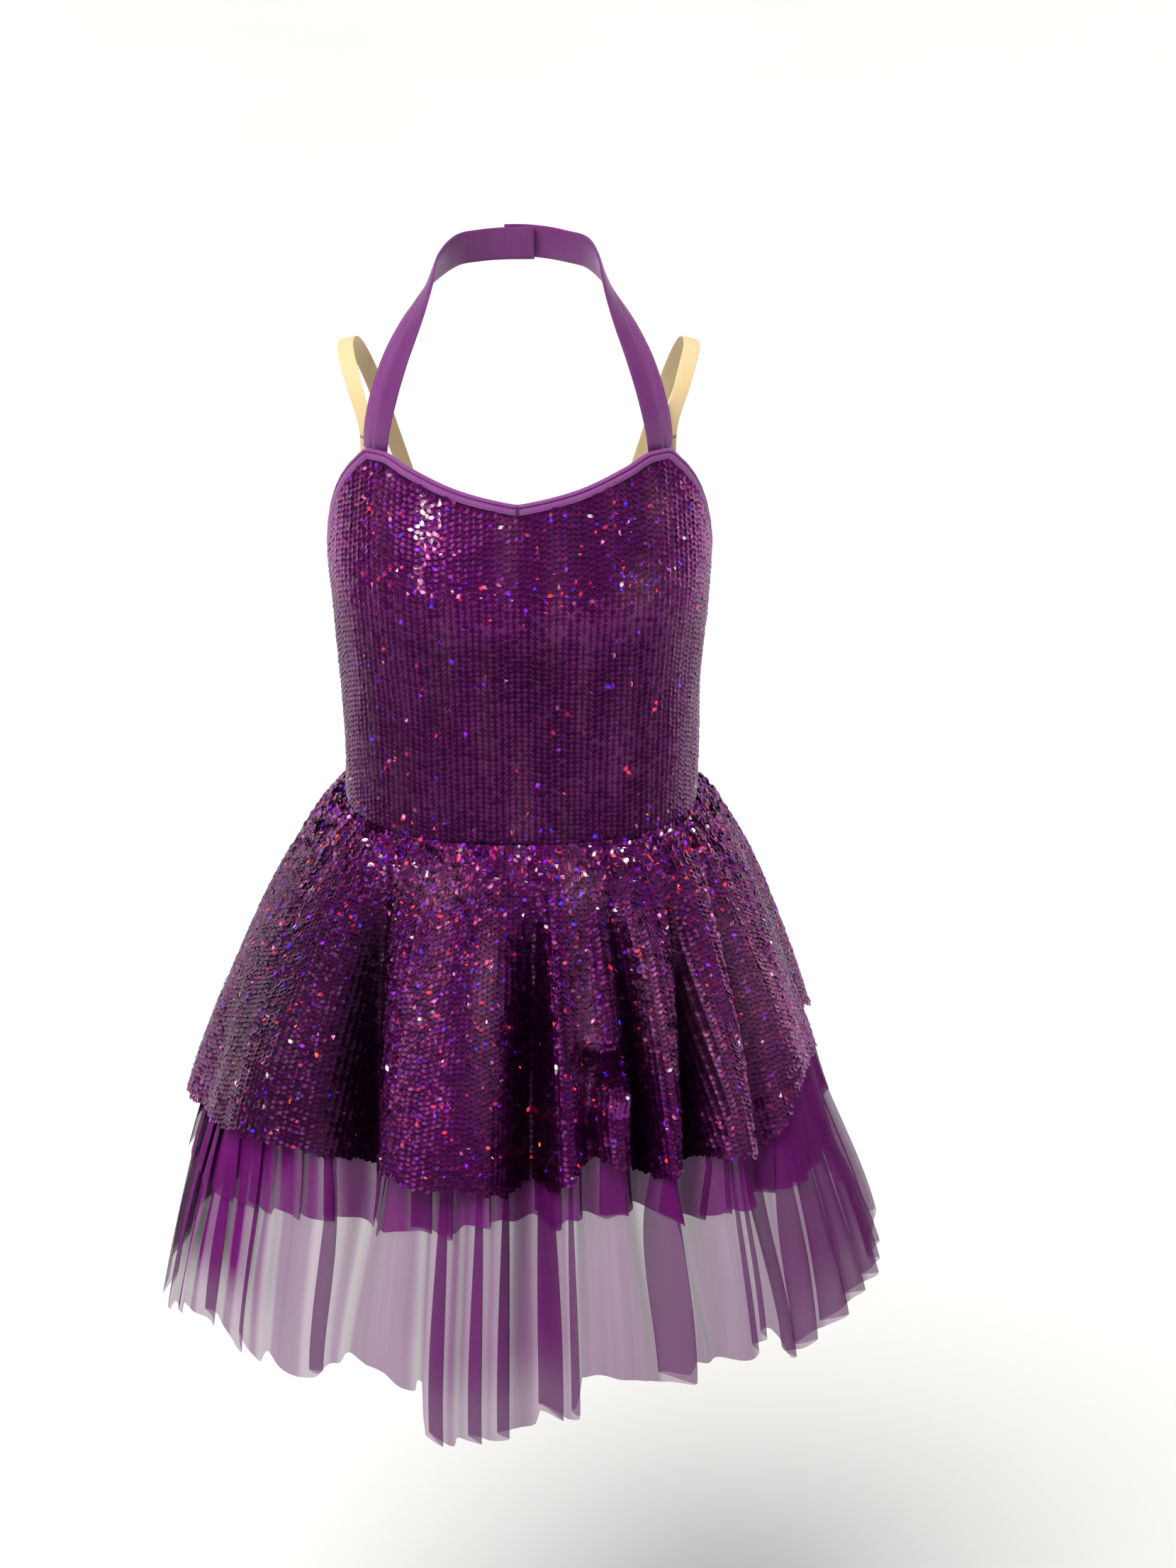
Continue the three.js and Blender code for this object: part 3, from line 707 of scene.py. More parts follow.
def sequin_film(name):
    """Thin purple metallised film. Each facet's tint, with painted shade and sheen in it, and its painted
    glints, which glow as emission, are stored on the mesh.
    """
    f = Finish(name, Metallic=0.95, IOR=1.5, Emission_Strength=1.0, Coat_Roughness=0.12, Coat_Weight=0.35)
    f.feed("Base Color", f.attribute("film"))
    # Painted glints: the glint colours glow as emission, whatever the lamps do.
    f.feed("Emission Color", f.attribute("glint"))
    f.feed("Roughness", f.noise(900, 1) * 0.14 + 0.3)
    return f


def sequin_ground(name):
    """The dark mesh cloth that the sequins are sewn to."""
    f = Finish(name, IOR=1.45)
    threads_in = f.weave("X", 1400) * f.weave("Z", 1400)
    ground = colours().ground
    f.feed("Base Color", f.blend(threads_in * 0.7 + f.noise(240) * 0.3, darker(ground, 0.35), ground))
    f.feed("Roughness", f.noise(300) * 0.2 + 0.5)
    f.relief(threads_in, 0.0003, 0.6)
    return f


def satin(name):
    """Stretch satin: a smooth sheen with faint crosswise drag lines."""
    f = satin_sheen(name, 0.35)
    cloudy = f.noise(70, 3)
    fine = f.weave("Z", 2600, twist=1.2)
    f.feed("Base Color", f.blend(cloudy * 0.75 + fine * 0.25, colours().satin, colours().satin_light))
    f.feed("Roughness", 0.36 + cloudy * 0.12)
    f.relief(fine * 0.4 + f.noise(420, 2) * 0.6, 0.00035, 0.5)
    return f


def strap_satin(name):
    """Satin folded lengthwise: the half beyond the crease is painted lighter, a painted highlight; the other
    half gets painted shade.
    """
    f = satin_sheen(name, 0.3)
    uv = f.along()
    u, v = f.split(uv, 2)
    ramp = f.node("ShaderNodeValToRGB", inputs={0: u + (f.noise(60) - 0.5) * 0.05})
    stops = ramp.color_ramp.elements
    stops[0].position, stops[1].position = 0.0, 0.5
    stops[0].color = stops[1].color = (*GREY_SATIN, 1)
    for place, level in STRAP_SHEEN:
        stop = stops.new(place)
        stop.color = (level, level, level, 1)
    lit = Wire(f, ramp.outputs[0])
    cloudy = f.noise(55, 3)
    waves = {"Vector": uv, "Scale": 34.0, "Distortion": 2.5}
    drag = f.wire("ShaderNodeTexWave", {"bands_direction": "Y"}, waves)
    # Painted highlight and shade: the mask blends the satin from its shade colour to its highlight colour
    # across the strap.
    mask = lit * 0.34 + cloudy * 0.16 + drag * 0.07 + v * 0.04 - 0.06
    f.feed("Base Color", f.blend(mask, colours().satin_deep, colours().satin_light))
    f.feed("Roughness", 0.4 + cloudy * 0.12)
    f.relief(drag * 0.25 + f.noise(500, 2) * 0.5, 0.0004, 0.5)
    return f


def tulle(name, cover):
    """Fine see-through net. Streaks of closer net run down it, and folded net lies more loosely."""
    f = Finish(name, Roughness=0.75, IOR=1.3, Specular_IOR_Level=0.15)
    long_way = {"Vector": f.along(), "Scale": (330.0, 1.5, 1.0)}
    streaks = f.noise(1.0, 4, 0.65, at=f.wire("ShaderNodeMapping", inputs=long_way, output="Vector")) - 0.5
    turned = {"Vector": f.place(), "Rotation": (0, 0.7, 0.5)}
    turned = f.wire("ShaderNodeMapping", inputs=turned, output="Vector")
    net = f.weave("X", 900, turned) * f.weave("Z", 900, turned)
    shade = f.blend(f.noise(18, 3), colours().tulle, colours().tulle_light)
    # The mask darkens the net where its threads lie closer and, as a painted shade, along the pleats' folds.
    mask = net * 0.2 + f.attribute("crease", "Fac") * 0.45 + streaks * 0.5
    f.feed("Base Color", f.blend(mask, shade, darker(colours().tulle, 0.6)))
    f.feed("Alpha", cover + streaks * 0.14 + f.attribute("closeness", "Fac") * 0.2)
    f.relief(net, 0.0002, 0.4)
    return f


def knit(name, colour, rough, scale=1500, depth=0.62):
    """Plain knitted cloth with fine ribs and a little unevenness."""
    f = Finish(name, IOR=1.45, Sheen_Weight=0.2)
    ribs = f.weave("X", scale, twist=0.6) * 0.5 + f.weave("Z", scale, twist=0.6) * 0.5
    cloudy = f.noise(45, 3)
    f.feed("Base Color", f.blend(ribs * 0.45 + cloudy * 0.55, darker(colour, depth), tuple(colour)))
    f.feed("Roughness", cloudy * 0.15 + rough)
    f.relief(ribs, 0.0003, 0.7)
    return f


def snap_metal(name):
    f = Finish(name, Metallic=1.0)
    worn = f.noise(700, 3)
    f.feed("Base Color", f.blend(worn, (0.62, 0.63, 0.66), (0.8, 0.8, 0.82)))
    f.feed("Roughness", worn * 0.2 + 0.18)
    f.relief(f.noise(1600, 2), 0.00006, 0.4)
    return f


def backdrop(name):
    f = Finish(name, Roughness=0.85, Specular_IOR_Level=0.1)
    f.feed("Base Color", f.blend(f.noise(1.5), (0.84, 0.84, 0.84), (0.87, 0.87, 0.87)))
    return f


MAKERS = {
    "sequins": sequin_film,
    "sequin_ground": sequin_ground,
    "satin": satin,
    "strap_satin": strap_satin,
    "tulle": lambda name: tulle(name, sizes().tulle_cover),
    "short_tulle": lambda name: tulle(name, sizes().short_tulle_cover),
    "lining": lambda name: knit(name, colours().lining, 0.62),
    "brief_cloth": lambda name: knit(name, colours().brief, 0.38, 1800),
    "nude_elastic": lambda name: knit(name, colours().nude, 0.6, 1300, 0.86),
    "elastic": lambda name: knit(name, (0.05, 0.014, 0.06), 0.7, 1100),
    "thread": lambda name: knit(name, (0.09, 0.012, 0.12), 0.5, 3000),
    "satin_thread": lambda name: knit(name, colours().satin, 0.42, 3000),
    "label": lambda name: knit(name, (0.83, 0.82, 0.79), 0.55, 2200),
    "snap": snap_metal,
    "backdrop": backdrop,
}


# ---- Sequins ----
# Colours of the painted glints, which glow as emission on a few facets of a sequin.
GLINTS = np.array([  # red, orange, blue, violet, pink, white
    (1.0, 0.04, 0.05), (1.0, 0.16, 0.06), (0.06, 0.03, 1.0), (0.3, 0.02, 1.0), (1.0, 0.25, 0.55),
    (1.0, 0.82, 0.9),
])
WARM_TONE, COOL_TONE = (0.9, 0.2, 0.25), (-0.1, 0.2, 1.1)
# The share of each painted glint colour among scattered glints, and among the white clusters.
SCATTERED = np.array([0.3, 0.08, 0.2, 0.24, 0.14, 0.04])
WHITE = np.array([0.04, 0.02, 0.02, 0.04, 0.34, 0.54])


def sequins(name, places, normals, downs, look, seed):
    """One mesh of threaded sequins: dished rings, each lapped over the next one down."""
    rng = np.random.default_rng(seed)
    count, sides = len(places), SEQUIN_SIDES
    size = sizes().sequin_across / MM
    turn = np.linspace(0, 2 * math.pi, sides + 1)[:-1]
    rim = np.stack([np.cos(turn), np.sin(turn)], axis=1) * size / 2
    template = np.concatenate([rim, rim * SEQUIN_HOLE])
    lift = np.repeat([0, -SEQUIN_DISH], sides)
    spin = rng.uniform(0, 2 * math.pi, count)
    lean = np.radians(sizes().sequin_lean + rng.normal(0, 1, count) * look["loose"])
    roll = np.radians(rng.normal(0, 1, count) * look["loose"])
    side = unit(np.cross(normals, downs))
    down = np.cross(side, normals)
    lower = unit(down * np.cos(lean)[:, None] + normals * np.sin(lean)[:, None])
    face = turned_to(np.cross(side, lower), normals)
    across = unit(side * np.cos(roll)[:, None] + face * np.sin(roll)[:, None])
    face = turned_to(np.cross(across, lower), normals)
    c, s = np.cos(spin), np.sin(spin)
    x = template[None, :, 0] * c[:, None] - template[None, :, 1] * s[:, None]
    y = template[None, :, 0] * s[:, None] + template[None, :, 1] * c[:, None]
    middle = places + normals * (SEQUIN_PROUD + rng.uniform(-0.2, 0.2, count))[:, None]
    points = middle[:, None] + across[:, None] * x[..., None] + lower[:, None] * y[..., None]
    points = points + face[:, None] * lift[None, :, None]
    k = np.arange(sides)
    wedge = np.stack([k, (k + 1) % sides, sides + (k + 1) % sides, sides + k], axis=1)
    handed = (np.cross(across, lower) * face).sum(axis=1) > 0
    corners = np.where(handed[:, None, None], wedge[None], wedge[None, :, ::-1])
    quads = corners + (np.arange(count) * 2 * sides)[:, None, None]
    obj = mesh_object(name, points, quads.reshape(-1, 4), "sequins", smooth=False)
    paint_sequins(obj, rng, **look)
    cells = math.ceil(math.sqrt(count))
    cell = np.stack([np.arange(count) % cells, np.arange(count) // cells], axis=1) + 0.5
    spots = cell[:, None] + template[None] / size * 0.9
    uv = spots[np.arange(count)[:, None, None], corners] / cells
    obj.data.uv_layers.new(name="OFBake").data.foreach_set("uv", uv.ravel())
    return obj


def turned_to(vectors, way):
    """The vectors, turned round where they point away from the way given."""
    return vectors * np.sign((vectors * way).sum(axis=1))[:, None]


def paint_sequins(obj, rng, sparkle, white, loose, shade, haze):
    """Stores each facet's film tint, with painted shade and painted sheen in it, and its painted glint."""
    count, sides = len(sparkle), SEQUIN_SIDES
    # The film tint carries painted light: it is painted paler in sheen patches and made darker or lighter by
    # the painted shade.
    haze = haze[:, None, None]
    base = np.array(colours().sequin) * (1 - haze) + np.array(colours().sequin_sheen) * haze
    mixed = (loose / 5).clip(0.3, 1.2)[:, None, None]
    tint = base * shade[:, None, None] * (1 + mixed * rng.uniform(-0.25, 0.25, (count, 1, 1)))
    tint = tint * (1 + mixed * rng.uniform(-0.2, 0.2, (count, sides, 1)))
    warm = rng.random((count, sides, 1))
    tint = tint * (1 + mixed * np.where(warm < 0.14, WARM_TONE, np.where(warm > 0.88, COOL_TONE, 0.0)))
    # Painted glints: a few facets get a glint colour that glows as emission.
    shines = rng.random(count) < sparkle * GLINT_FACETS
    pick = rng.random(count)
    chance = np.where(white[:, None], np.cumsum(WHITE), np.cumsum(SCATTERED))
    which = (pick[:, None] > chance).sum(axis=1).clip(0, len(GLINTS) - 1)
    power = (0.35 + 1.5 * rng.random(count) ** 2) * np.where(white, 1.7, 1.0) * shines
    spread = np.where(white, 2, rng.integers(0, 2, count))
    half = sides // 2
    away = np.arange(sides)[None, :] - rng.integers(0, sides, count)[:, None]
    away = np.abs((away + half) % sides - half)
    lit = np.clip(1.0 - 0.45 * away, 0, 1) * (away <= spread[:, None])
    glint = GLINTS[which][:, None] * (power[:, None] * lit)[..., None]
    for name, values in (("film", tint), ("glint", glint)):
        attribute = obj.data.color_attributes.new(name=name, type="FLOAT_COLOR", domain="CORNER")
        facets = np.concatenate([values, np.ones((count, sides, 1))], axis=2).reshape(-1, 4)
        attribute.data.foreach_set("color", np.repeat(facets, 4, axis=0).ravel())


def patch(degrees, height, at, tall_at, wide, tall):
    return np.exp(-(wrap(degrees - at) / wide) ** 2 - ((height - tall_at) / tall) ** 2)


def stripe(height, at, tall):
    return np.exp(-((height - at) / tall) ** 2)


def with_patches(share, degrees, height, rows):
    """Adds patches, each of an amount, degrees, height and the half sizes both ways."""
    for much, *row in rows:
        share = share + much * patch(degrees, height, *row)
    return share


def bodice_sparkle(degrees, height):
    """The share of facets with painted glints on the bodice, and where the white ones are."""
    share = 0.006 + 0.012 * smoothstep(height, 150, 200)
    share = share + 0.07 * stripe(height, 170, 6) * (np.abs(wrap(degrees)) < 52)
    share = with_patches(share, degrees, height, ((0.05, 28, 205, 4, 26), (0.05, -44, 212, 9, 22)))
    share = with_patches(share + 0.02 * stripe(height, 6, 6), degrees, height, ((0.03, -36, 12, 14, 22),))
    cluster = with_patches(0, degrees, height, ((1, -24, 207, 4.2, 15), (0.5, -27, 176, 4, 9)))
    return share + 0.3 * cluster, cluster > 0.25


def skirt_sparkle(degrees, height):
    """The share of facets with painted glints on the skirt, and where the white ones are."""
    share = 0.014 + 0.04 * smoothstep(height, -120, -20) + 0.05 * stripe(height, -8, 9)
    share = with_patches(share, degrees, height, (
        (0.05, -15, -95, 10, 85), (0.02, -60, -120, 30, 60), (0.04, 15, -145, 8, 28),
    ))
    share = share * (1 - 0.6 * smoothstep(wrap(degrees), 52, 70))
    mixed = np.sin(degrees * 12.9898 + height * 78.233) * 43758.5453
    pale = (mixed - np.floor(mixed)) < 0.01 + 0.06 * stripe(height, -9, 8)
    return 0.62 * share + 0.12 * pale * (np.abs(wrap(degrees)) < 70), pale


def shaded_panel(degrees, height):
    """The broad panel at the wearer's right, which lies smoother; its film is painted darker there, a painted
    shade.
    """
    return patch(degrees, height, -58, -120, 24, 110)


def skirt_haze(degrees, height):
    """Patches of painted sheen, where the skirt's film is painted paler: they run down its folds, fewer on the
    panel with painted shade.
    """
    total = 0.5 * ripples(degrees * 3, height * 0.4, 1).clip(min=0)
    total = with_patches(total * (1 - 0.8 * shaded_panel(degrees, height)), degrees, height, (
        (0.75, -6, -70, 2, 32), (0.75, 12, -95, 2.6, 34), (0.75, 15, -20, 5, 12), (0.75, 27, -80, 2.4, 45),
        (0.75, 41, -110, 3, 60), (0.75, 58, -95, 7, 60), (0.75, -20, -20, 8, 10),
    ))
    return total.clip(max=0.9)


def bodice_rows(half, pitch, row):
    """Places for the sequins of one half of the bodice, in columns."""
    turns = np.arange(0, 360, 0.25)
    around = body_point(turns, 150 + 0 * turns)
    length = walked_along(np.concatenate([around, around[:1]]))
    columns = int(round(length[-1] / pitch))
    middles = np.interp((np.arange(columns) + 0.5) / columns * length[-1], length, np.append(turns, 360))
    rng = np.random.default_rng(5)
    places = []
    for k, degrees in enumerate(wrap(middles)):
        front = abs(degrees) < 90
        if front != (half == "front") or abs(abs(degrees) - 90) < 0.5:
            continue
        top = float(top_edge(degrees) - drop_across(degrees, BINDING_WIDE + 1.9))
        heights = np.arange(1.6 + rng.uniform(0, row), top + 0.6, row)
        places.append(column_of(degrees, heights, k))
    return np.concatenate(places)


def column_of(degrees, along, number):
    """A column's places: degrees, distance along it, and 1 where the column is an odd one."""
    return np.stack([np.full(len(along), degrees), along, np.full(len(along), number % 2)], axis=1)


def walked_along(points):
    """The length of a line from its start to each of its points."""
    return np.concatenate([[0], np.cumsum(np.linalg.norm(np.diff(points, axis=0), axis=1))])


def add_bodice_sequins(half, seed):
    spots = bodice_rows(half, sizes().sequin_pitch / MM, sizes().sequin_row / MM)
    rng = np.random.default_rng(seed + 7)
    spots = spots + rng.normal(0, 1, spots.shape) * [0.05, 0.14, 0.1]
    degrees, height = spots[:, 0], spots[:, 1]
    places = bodice_point(degrees, height)
    normals = normal_of(bodice_point, degrees, height, 0.3)
    downs = unit(bodice_point(degrees, height - 1) - places)
    places = places + normals * (spots[:, 2] * COLUMN_PROUD)[:, None]
    look = dict(zip(("sparkle", "white"), bodice_sparkle(degrees, height)))
    # Painted light: the film is painted lighter towards the chest, with a little random unevenness.
    look["shade"] = 0.74 + 0.6 * smoothstep(height, 120, 185) + ripples(degrees * 1.7, height * 0.6, 0.14)
    # Patches of painted sheen, where the film is painted paler.
    haze = with_patches(0, degrees, height, ((0.8, 36, 168, 7, 16), (0.5, 45, 214, 8, 14)))
    look["haze"] = (haze + 0.35 * ripples(degrees * 3, height * 0.5, 1).clip(min=0)).clip(max=0.9)
    look["loose"] = 1.9 + 1.3 * smoothstep(height, 130, 175)
    sequins(f"bodice_sequins_{half}", places, normals, downs, look, seed)


def skirt_columns(pitch, row):
    """Places for the skirt's sequins. Columns keep their distance at the hem, and some start lower down."""
    turns = np.arange(-180, 180.01, 0.1)
    length = walked_along(skirt_point(turns, hem_down(SKIRT_HEM, turns, 0) * 0.96))
    columns = 2 * int(round(length[-1] / pitch / 2))
    middles = np.interp((np.arange(columns) + 0.5) / columns * length[-1], length, turns)
    depth = np.arange(0, 260, 1.5)
    lines = skirt_point(middles[:, None], depth[None, :])
    beside = np.linalg.norm(np.roll(lines, -1, axis=0) - lines, axis=-1)
    rng = np.random.default_rng(91)
    spots = []
    for k in range(columns):
        end = float(hem_down(SKIRT_HEM, middles[k], 0)) + rng.uniform(-0.6, 1.8)
        walked = walked_along(lines[k])
        start = 0.4
        if k % 2:
            wide = 0.5 * (beside[k] + beside[k - 1])
            start = max(depth[np.argmax(wide > pitch * 0.62)] + rng.uniform(-6, 4), 0.4)
        at = np.arange(np.interp(start, depth, walked), np.interp(end, depth, walked), row)
        down = np.interp(at + rng.normal(0, 0.2, len(at)), walked, depth)
        spots.append(column_of(middles[k], down, k))
    return np.concatenate(spots)


def add_skirt_sequins():
    spots = skirt_columns(sizes().sequin_pitch / MM, sizes().sequin_row / MM)
    degrees, down = spots[:, 0], spots[:, 1]
    places = skirt_point(degrees, down)
    outside = places * [1, 1, 0]
    normals = turned_to(normal_of(skirt_point, degrees, down, 0.25), outside)
    normals = unit(normals + unit(outside) * (1.3 * np.exp(-down / 15))[:, None])
    downs = unit(skirt_point(degrees, down + 0.5) - places)
    places = places + normals * (spots[:, 2] * COLUMN_PROUD)[:, None]
    height = places[:, 2]
    sunk = fold_depth(wrap(degrees), down) * smoothstep(down, 3, 120)
    look = dict(zip(("sparkle", "white"), skirt_sparkle(degrees, height)))
    # Painted shade: fewer glints and a darker film in the folds' valleys and on the smooth panel. Painted
    # light: a lighter film just under the seam.
    look["sparkle"] = look["sparkle"] * (1 - 0.85 * smoothstep(sunk, 2, 16))
    shade = 1.13 - 0.64 * smoothstep(sunk, -6, 22) + ripples(degrees, height, 0.1)
    look["shade"] = shade + 0.5 * np.exp(-down / 14) - 0.62 * shaded_panel(degrees, height)
    look["haze"] = skirt_haze(degrees, height)
    look["loose"] = 4.6 + 9 * np.exp(-down / 24)
    made = []
    for seed, (name, (low, high)) in enumerate(SKIRT_QUARTERS.items(), start=40):
        part = (degrees >= low) & (degrees < high)
        chosen = {key: values[part] for key, values in look.items()}
        made.append(sequins(f"skirt_sequins_{name}", places[part], normals[part], downs[part], chosen, seed))
    return made


# ---- Pieces ----
def add_bodice():
    across = np.linspace(0, 1, 64)[:, None]
    for half, low, seed in (("front", -90, 11), ("back", 90, 23)):
        degrees = np.linspace(low - 0.2, low + 180.2, 120)
        top = top_edge(degrees) - drop_across(degrees, BINDING_SPACE - 1.4)
        heights = 1 + (top[None, :] - 1) * across
        degrees = np.repeat(degrees[None, :], len(across), axis=0)
        outer = bodice_point(degrees, heights)
        shell = cloth(f"bodice_cloth_{half}", outer, "sequins", "sequin_ground", BODICE_THICK,
                      held="stretched")
        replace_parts(shell, f"bodice_{half}")
        inner = body_point(degrees, heights) - normal_of(body_point, degrees, heights, 0.2) * LINING_INSIDE
        lining = cloth(f"lining_{half}", inner, "lining", thick=LINING_THICK, held="stretched")
        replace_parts(lining, f"bodice_lining_{half}")
        add_bodice_sequins(half, seed)


def edge_line(low, high, count, side=1, proud=0.0):
    degrees = np.linspace(low, high, count + 1)
    heights = top_edge(degrees) - drop_across(degrees, BINDING_WIDE / 2)
    facing = normal_of(body_point, degrees, heights, 0.2)
    places = body_point(degrees, heights) - facing * (0.8 - proud)
    flip = np.array([side, 1, 1])
    return places * flip, facing * flip


def binding(node, line, hand=1):
    """A satin binding with a groove and a row of stitches in it."""
    places, facing = line
    name = f"{node}_satin"
    dents = ((-BINDING_GROOVE, 0.5, 1.5), (2.3, 0.5, 0.4))
    profile = flat_profile(BINDING_WIDE + 0.6, BINDING_THICK, dents, crown=0.3, samples=36)
    rng = np.random.default_rng(len(name) * 13)
    waves = 0.05 * np.sin(np.arange(len(places)) * 0.9 + rng.uniform(0, 6))
    swell = 1 + waves * rng.uniform(0.4, 1, len(places))
    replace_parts(sewn_band(name, line, swelling(profile, swell), hand, "satin"), node)
    along, across, out = rails(places, facing)
    length = walked_along(places)
    marks = np.arange(2.5, length[-1] - 2, STITCH_PITCH)

    def at(values):
        return np.stack([np.interp(marks, length, values[:, i]) for i in range(3)], axis=1)

    groove = at(places) + at(across) * hand * -BINDING_GROOVE + at(out) * 0.55
    threads(f"{name}_stitches", groove, unit(at(along)), unit(at(out)), 2.3, 0.42, "satin_thread")


def add_bindings():
    for side_name, side in SIDES.items():
        binding(f"neckline_binding_{side_name}", edge_line(0.0, 53.8, 90, side), side)
        binding(f"armhole_binding_{side_name}", edge_line(52.2, 139.9, 120, side, 0.35), side)
    binding("back_binding", edge_line(139.7, 220.3, 90, 1, 0.5))
    add_tack()


def add_tack():
    """A few close stitches that pull the neckline into its notch."""
    low, high = (Vector(corner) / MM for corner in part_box("neckline_tack"))
    middle = (low + high) / 2
    uneven = np.array([0.2, -0.15, 0.1, -0.2, 0.15])
    heights = np.linspace(low.z + 0.7, high.z - 0.7, len(uneven))
    places = np.stack([middle.x + uneven, middle.y + 0.15 + 0 * uneven, heights], axis=1)
    along = unit(np.array([0.25, 0.0, 0.97]))
    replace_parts(threads("neckline_tack_stitches", places, along, (0, -1, 0), 2.6, 0.75), "neckline_tack")


def add_halter_straps():
    left = HALTER_FRONT + [HALTER_HINGE] + LAPPED_END
    right = HALTER_FRONT + HALTER_BEHIND
    profile = flat_profile(HALTER_WIDE, HALTER_THICK, dents=((2.2, 0.9, 0.75), (8.6, 0.5, 0.3)), samples=34)
    for side_name, rows in (("left", left), ("right", right)):
        side = SIDES[side_name]
        line = path_through(rows, 150, side)
        count = len(line[0])
        slack = np.linspace(0, 1, count)
        swell = 1 + 0.07 * np.sin(slack * 43 + side) + 0.05 * np.sin(slack * 91 + 2)
        name = f"halter_strap_{side_name}_satin"
        body = None if side > 0 else GARMENT
        obj = sewn_band(name, line, swelling(profile, swell), side, "satin", "strap_satin", body=body)
        band_uv(obj, count, len(profile))
        if side > 0:
            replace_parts(obj, "halter_strap_left", "halter_strap_left_end")
            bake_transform(obj)
        else:
            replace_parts(obj, "halter_strap_right")


def add_nude_straps():
    ribs = [(x, 0.28, 0.22) for x in np.arange(-3 * NUDE_RIB, 3 * NUDE_RIB + 0.1, NUDE_RIB)]
    profile = flat_profile(NUDE_WIDE, NUDE_THICK, dents=ribs, samples=48, crown=0.08)
    rows = np.linspace(-3.6, 3.6, 7)[:, None]
    for side_name, side in SIDES.items():
        line = path_through(NUDE_PATH, 110, side)
        obj = sewn_band(f"nude_strap_{side_name}_elastic", line, profile, side, "nude_elastic")
        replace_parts(obj, f"nude_strap_{side_name}")
        places = line[0]
        along, across, out = rails(*line)
        for end, spot in (("front", 8), ("back", len(places) - 5)):
            tack = places[spot] + across[spot] * rows + out[spot] * 0.75
            bar = unit(across[spot] * 0.4 + along[spot])
            threads(f"nude_strap_{side_name}_tack_{end}", tack, bar, out[spot], 2.2, 0.4)


def add_snap():
    for name in ("snap_socket", "snap_stud"):
        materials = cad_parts[name].data.materials
        materials.clear()
        materials.append(finish("snap"))


def add_skirt():
    degrees = np.linspace(-180, 180, 721)[:-1]
    deep = hem_down(SKIRT_HEM, degrees, 0)
    fall = np.concatenate([np.linspace(0, 0.1, 14)[:-1], np.linspace(0.1, 1, 90)])
    outer = skirt_point(degrees[None, :], deep[None, :] * fall[:, None])
    made = add_skirt_sequins()
    shell = cloth("sequin_skirt_cloth", outer[::-1], "sequins", "sequin_ground", SKIRT_THICK, ring=True,
                  held="gathered", rests_on=["waist_band_elastic"], with_pieces=made)
    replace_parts(shell, "sequin_skirt")


def tulle_layer(name, node, hem, pleats, inside, spread, step, kind):
    """A pleated net. Its plies stand `spread` apart, and their hems differ by `step`."""
    top, folded, ply, turn, plies = fold_plan(pleats)
    v = np.concatenate([np.linspace(0, 0.06, 6)[:-1], np.linspace(0.06, 1, 58)])[:, None]
    around = top[None, :] + (folded - top)[None, :] * smoothstep(v, 0.08, 0.9)
    straight = 20 * (1 - v) * smoothstep(v, 0.1, 0.5) * (1 - smoothstep(np.abs(wrap(folded)), 45, 92))
    around = around + straight * np.sin(np.radians(folded))
    deep = hem_down(hem, folded, inside)[None, :] + step * ply[None, :] * v
    points = skirt_point(around, deep * v, inside)
    a = np.radians(around)
    flutter = np.sin(23 * a + 3 * v) * 1.1 + np.sin(47 * a - 4 * v + 1) * 0.6 + np.sin(11 * a + 2) * 1.8
    fan = 5 * inside * np.exp(-((around - 80) / 30) ** 2)
    out = (spread * (ply - 0.3)[None, :] + (flutter - 1.5) + fan) * smoothstep(v, 0.1, 1.0)
    points = points + unit(points * [1, 1, 0]) * out[..., None]
    obj = cloth(name, points[::-1], "tulle", kind, ring=True, held="gathered",
                rests_on=["waist_band_elastic"])
    close = bunched(folded)[None, :] * (1 - 0.9 * smoothstep(v, 0.84, 0.97)) - 0.95 * plies[None, :]
    # The crease values paint shade along the pleats' folds; the closeness values make bunched net hide more
    # and folded plies less.
    for label, values in (("crease", turn[None, :] * smoothstep(v, 0.15, 0.6)), ("closeness", close)):
        shade = obj.data.attributes.new(name=label, type="FLOAT", domain="POINT")
        shade.data.foreach_set("value", np.broadcast_to(values, (len(v), len(folded)))[::-1].ravel())
    net_uv(obj, len(v), len(folded))
    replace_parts(obj, node)


def bunched(degrees):
    """How closely the net is pushed together round the skirt."""
    total = 0 * degrees
    for at, wide, much in BUNCHED:
        total = total + much * np.exp(-((wrap(degrees - at) / wide) ** 4))
    return total


def net_uv(obj, rows, columns):
    """A UV map with u round the net and v up it."""
    first, row = np.arange(columns), np.arange(rows - 1)
    corner = np.stack([first, first + 1, first + 1, first], axis=1) / columns
    up = np.stack([row, row, row + 1, row + 1], axis=1) / (rows - 1)
    uv = np.stack(np.broadcast_arrays(corner[None], up[:, None]), axis=-1)
    obj.data.uv_layers.new(name="Along").data.foreach_set("uv", uv.ravel())


def add_tulle():
    short = wrapped(SHORT_PLEATS + back_pleats(3, 94, 268, (2.5, 9), (1.0, 2.6)))
    long = wrapped(LONG_PLEATS + back_pleats(8, 95, 267, (2, 14), (0.6, 3.4)))
    tulle_layer("tulle_short_net", "tulle_layer_short", SHORT_TULLE_HEM, short, 1, 5, 3, "short_tulle")
    tulle_layer("tulle_long_net", "tulle_layer_long", LONG_TULLE_HEM, long, 2, 8, 5, "tulle")


def wrapped(pleats):
    """The same pleats with their middles between -180 and 180, none of them across the join."""
    turned = [(float(wrap(middle)), half) for middle, half in pleats]
    return [(middle, half) for middle, half in turned if abs(middle) + half < 179]


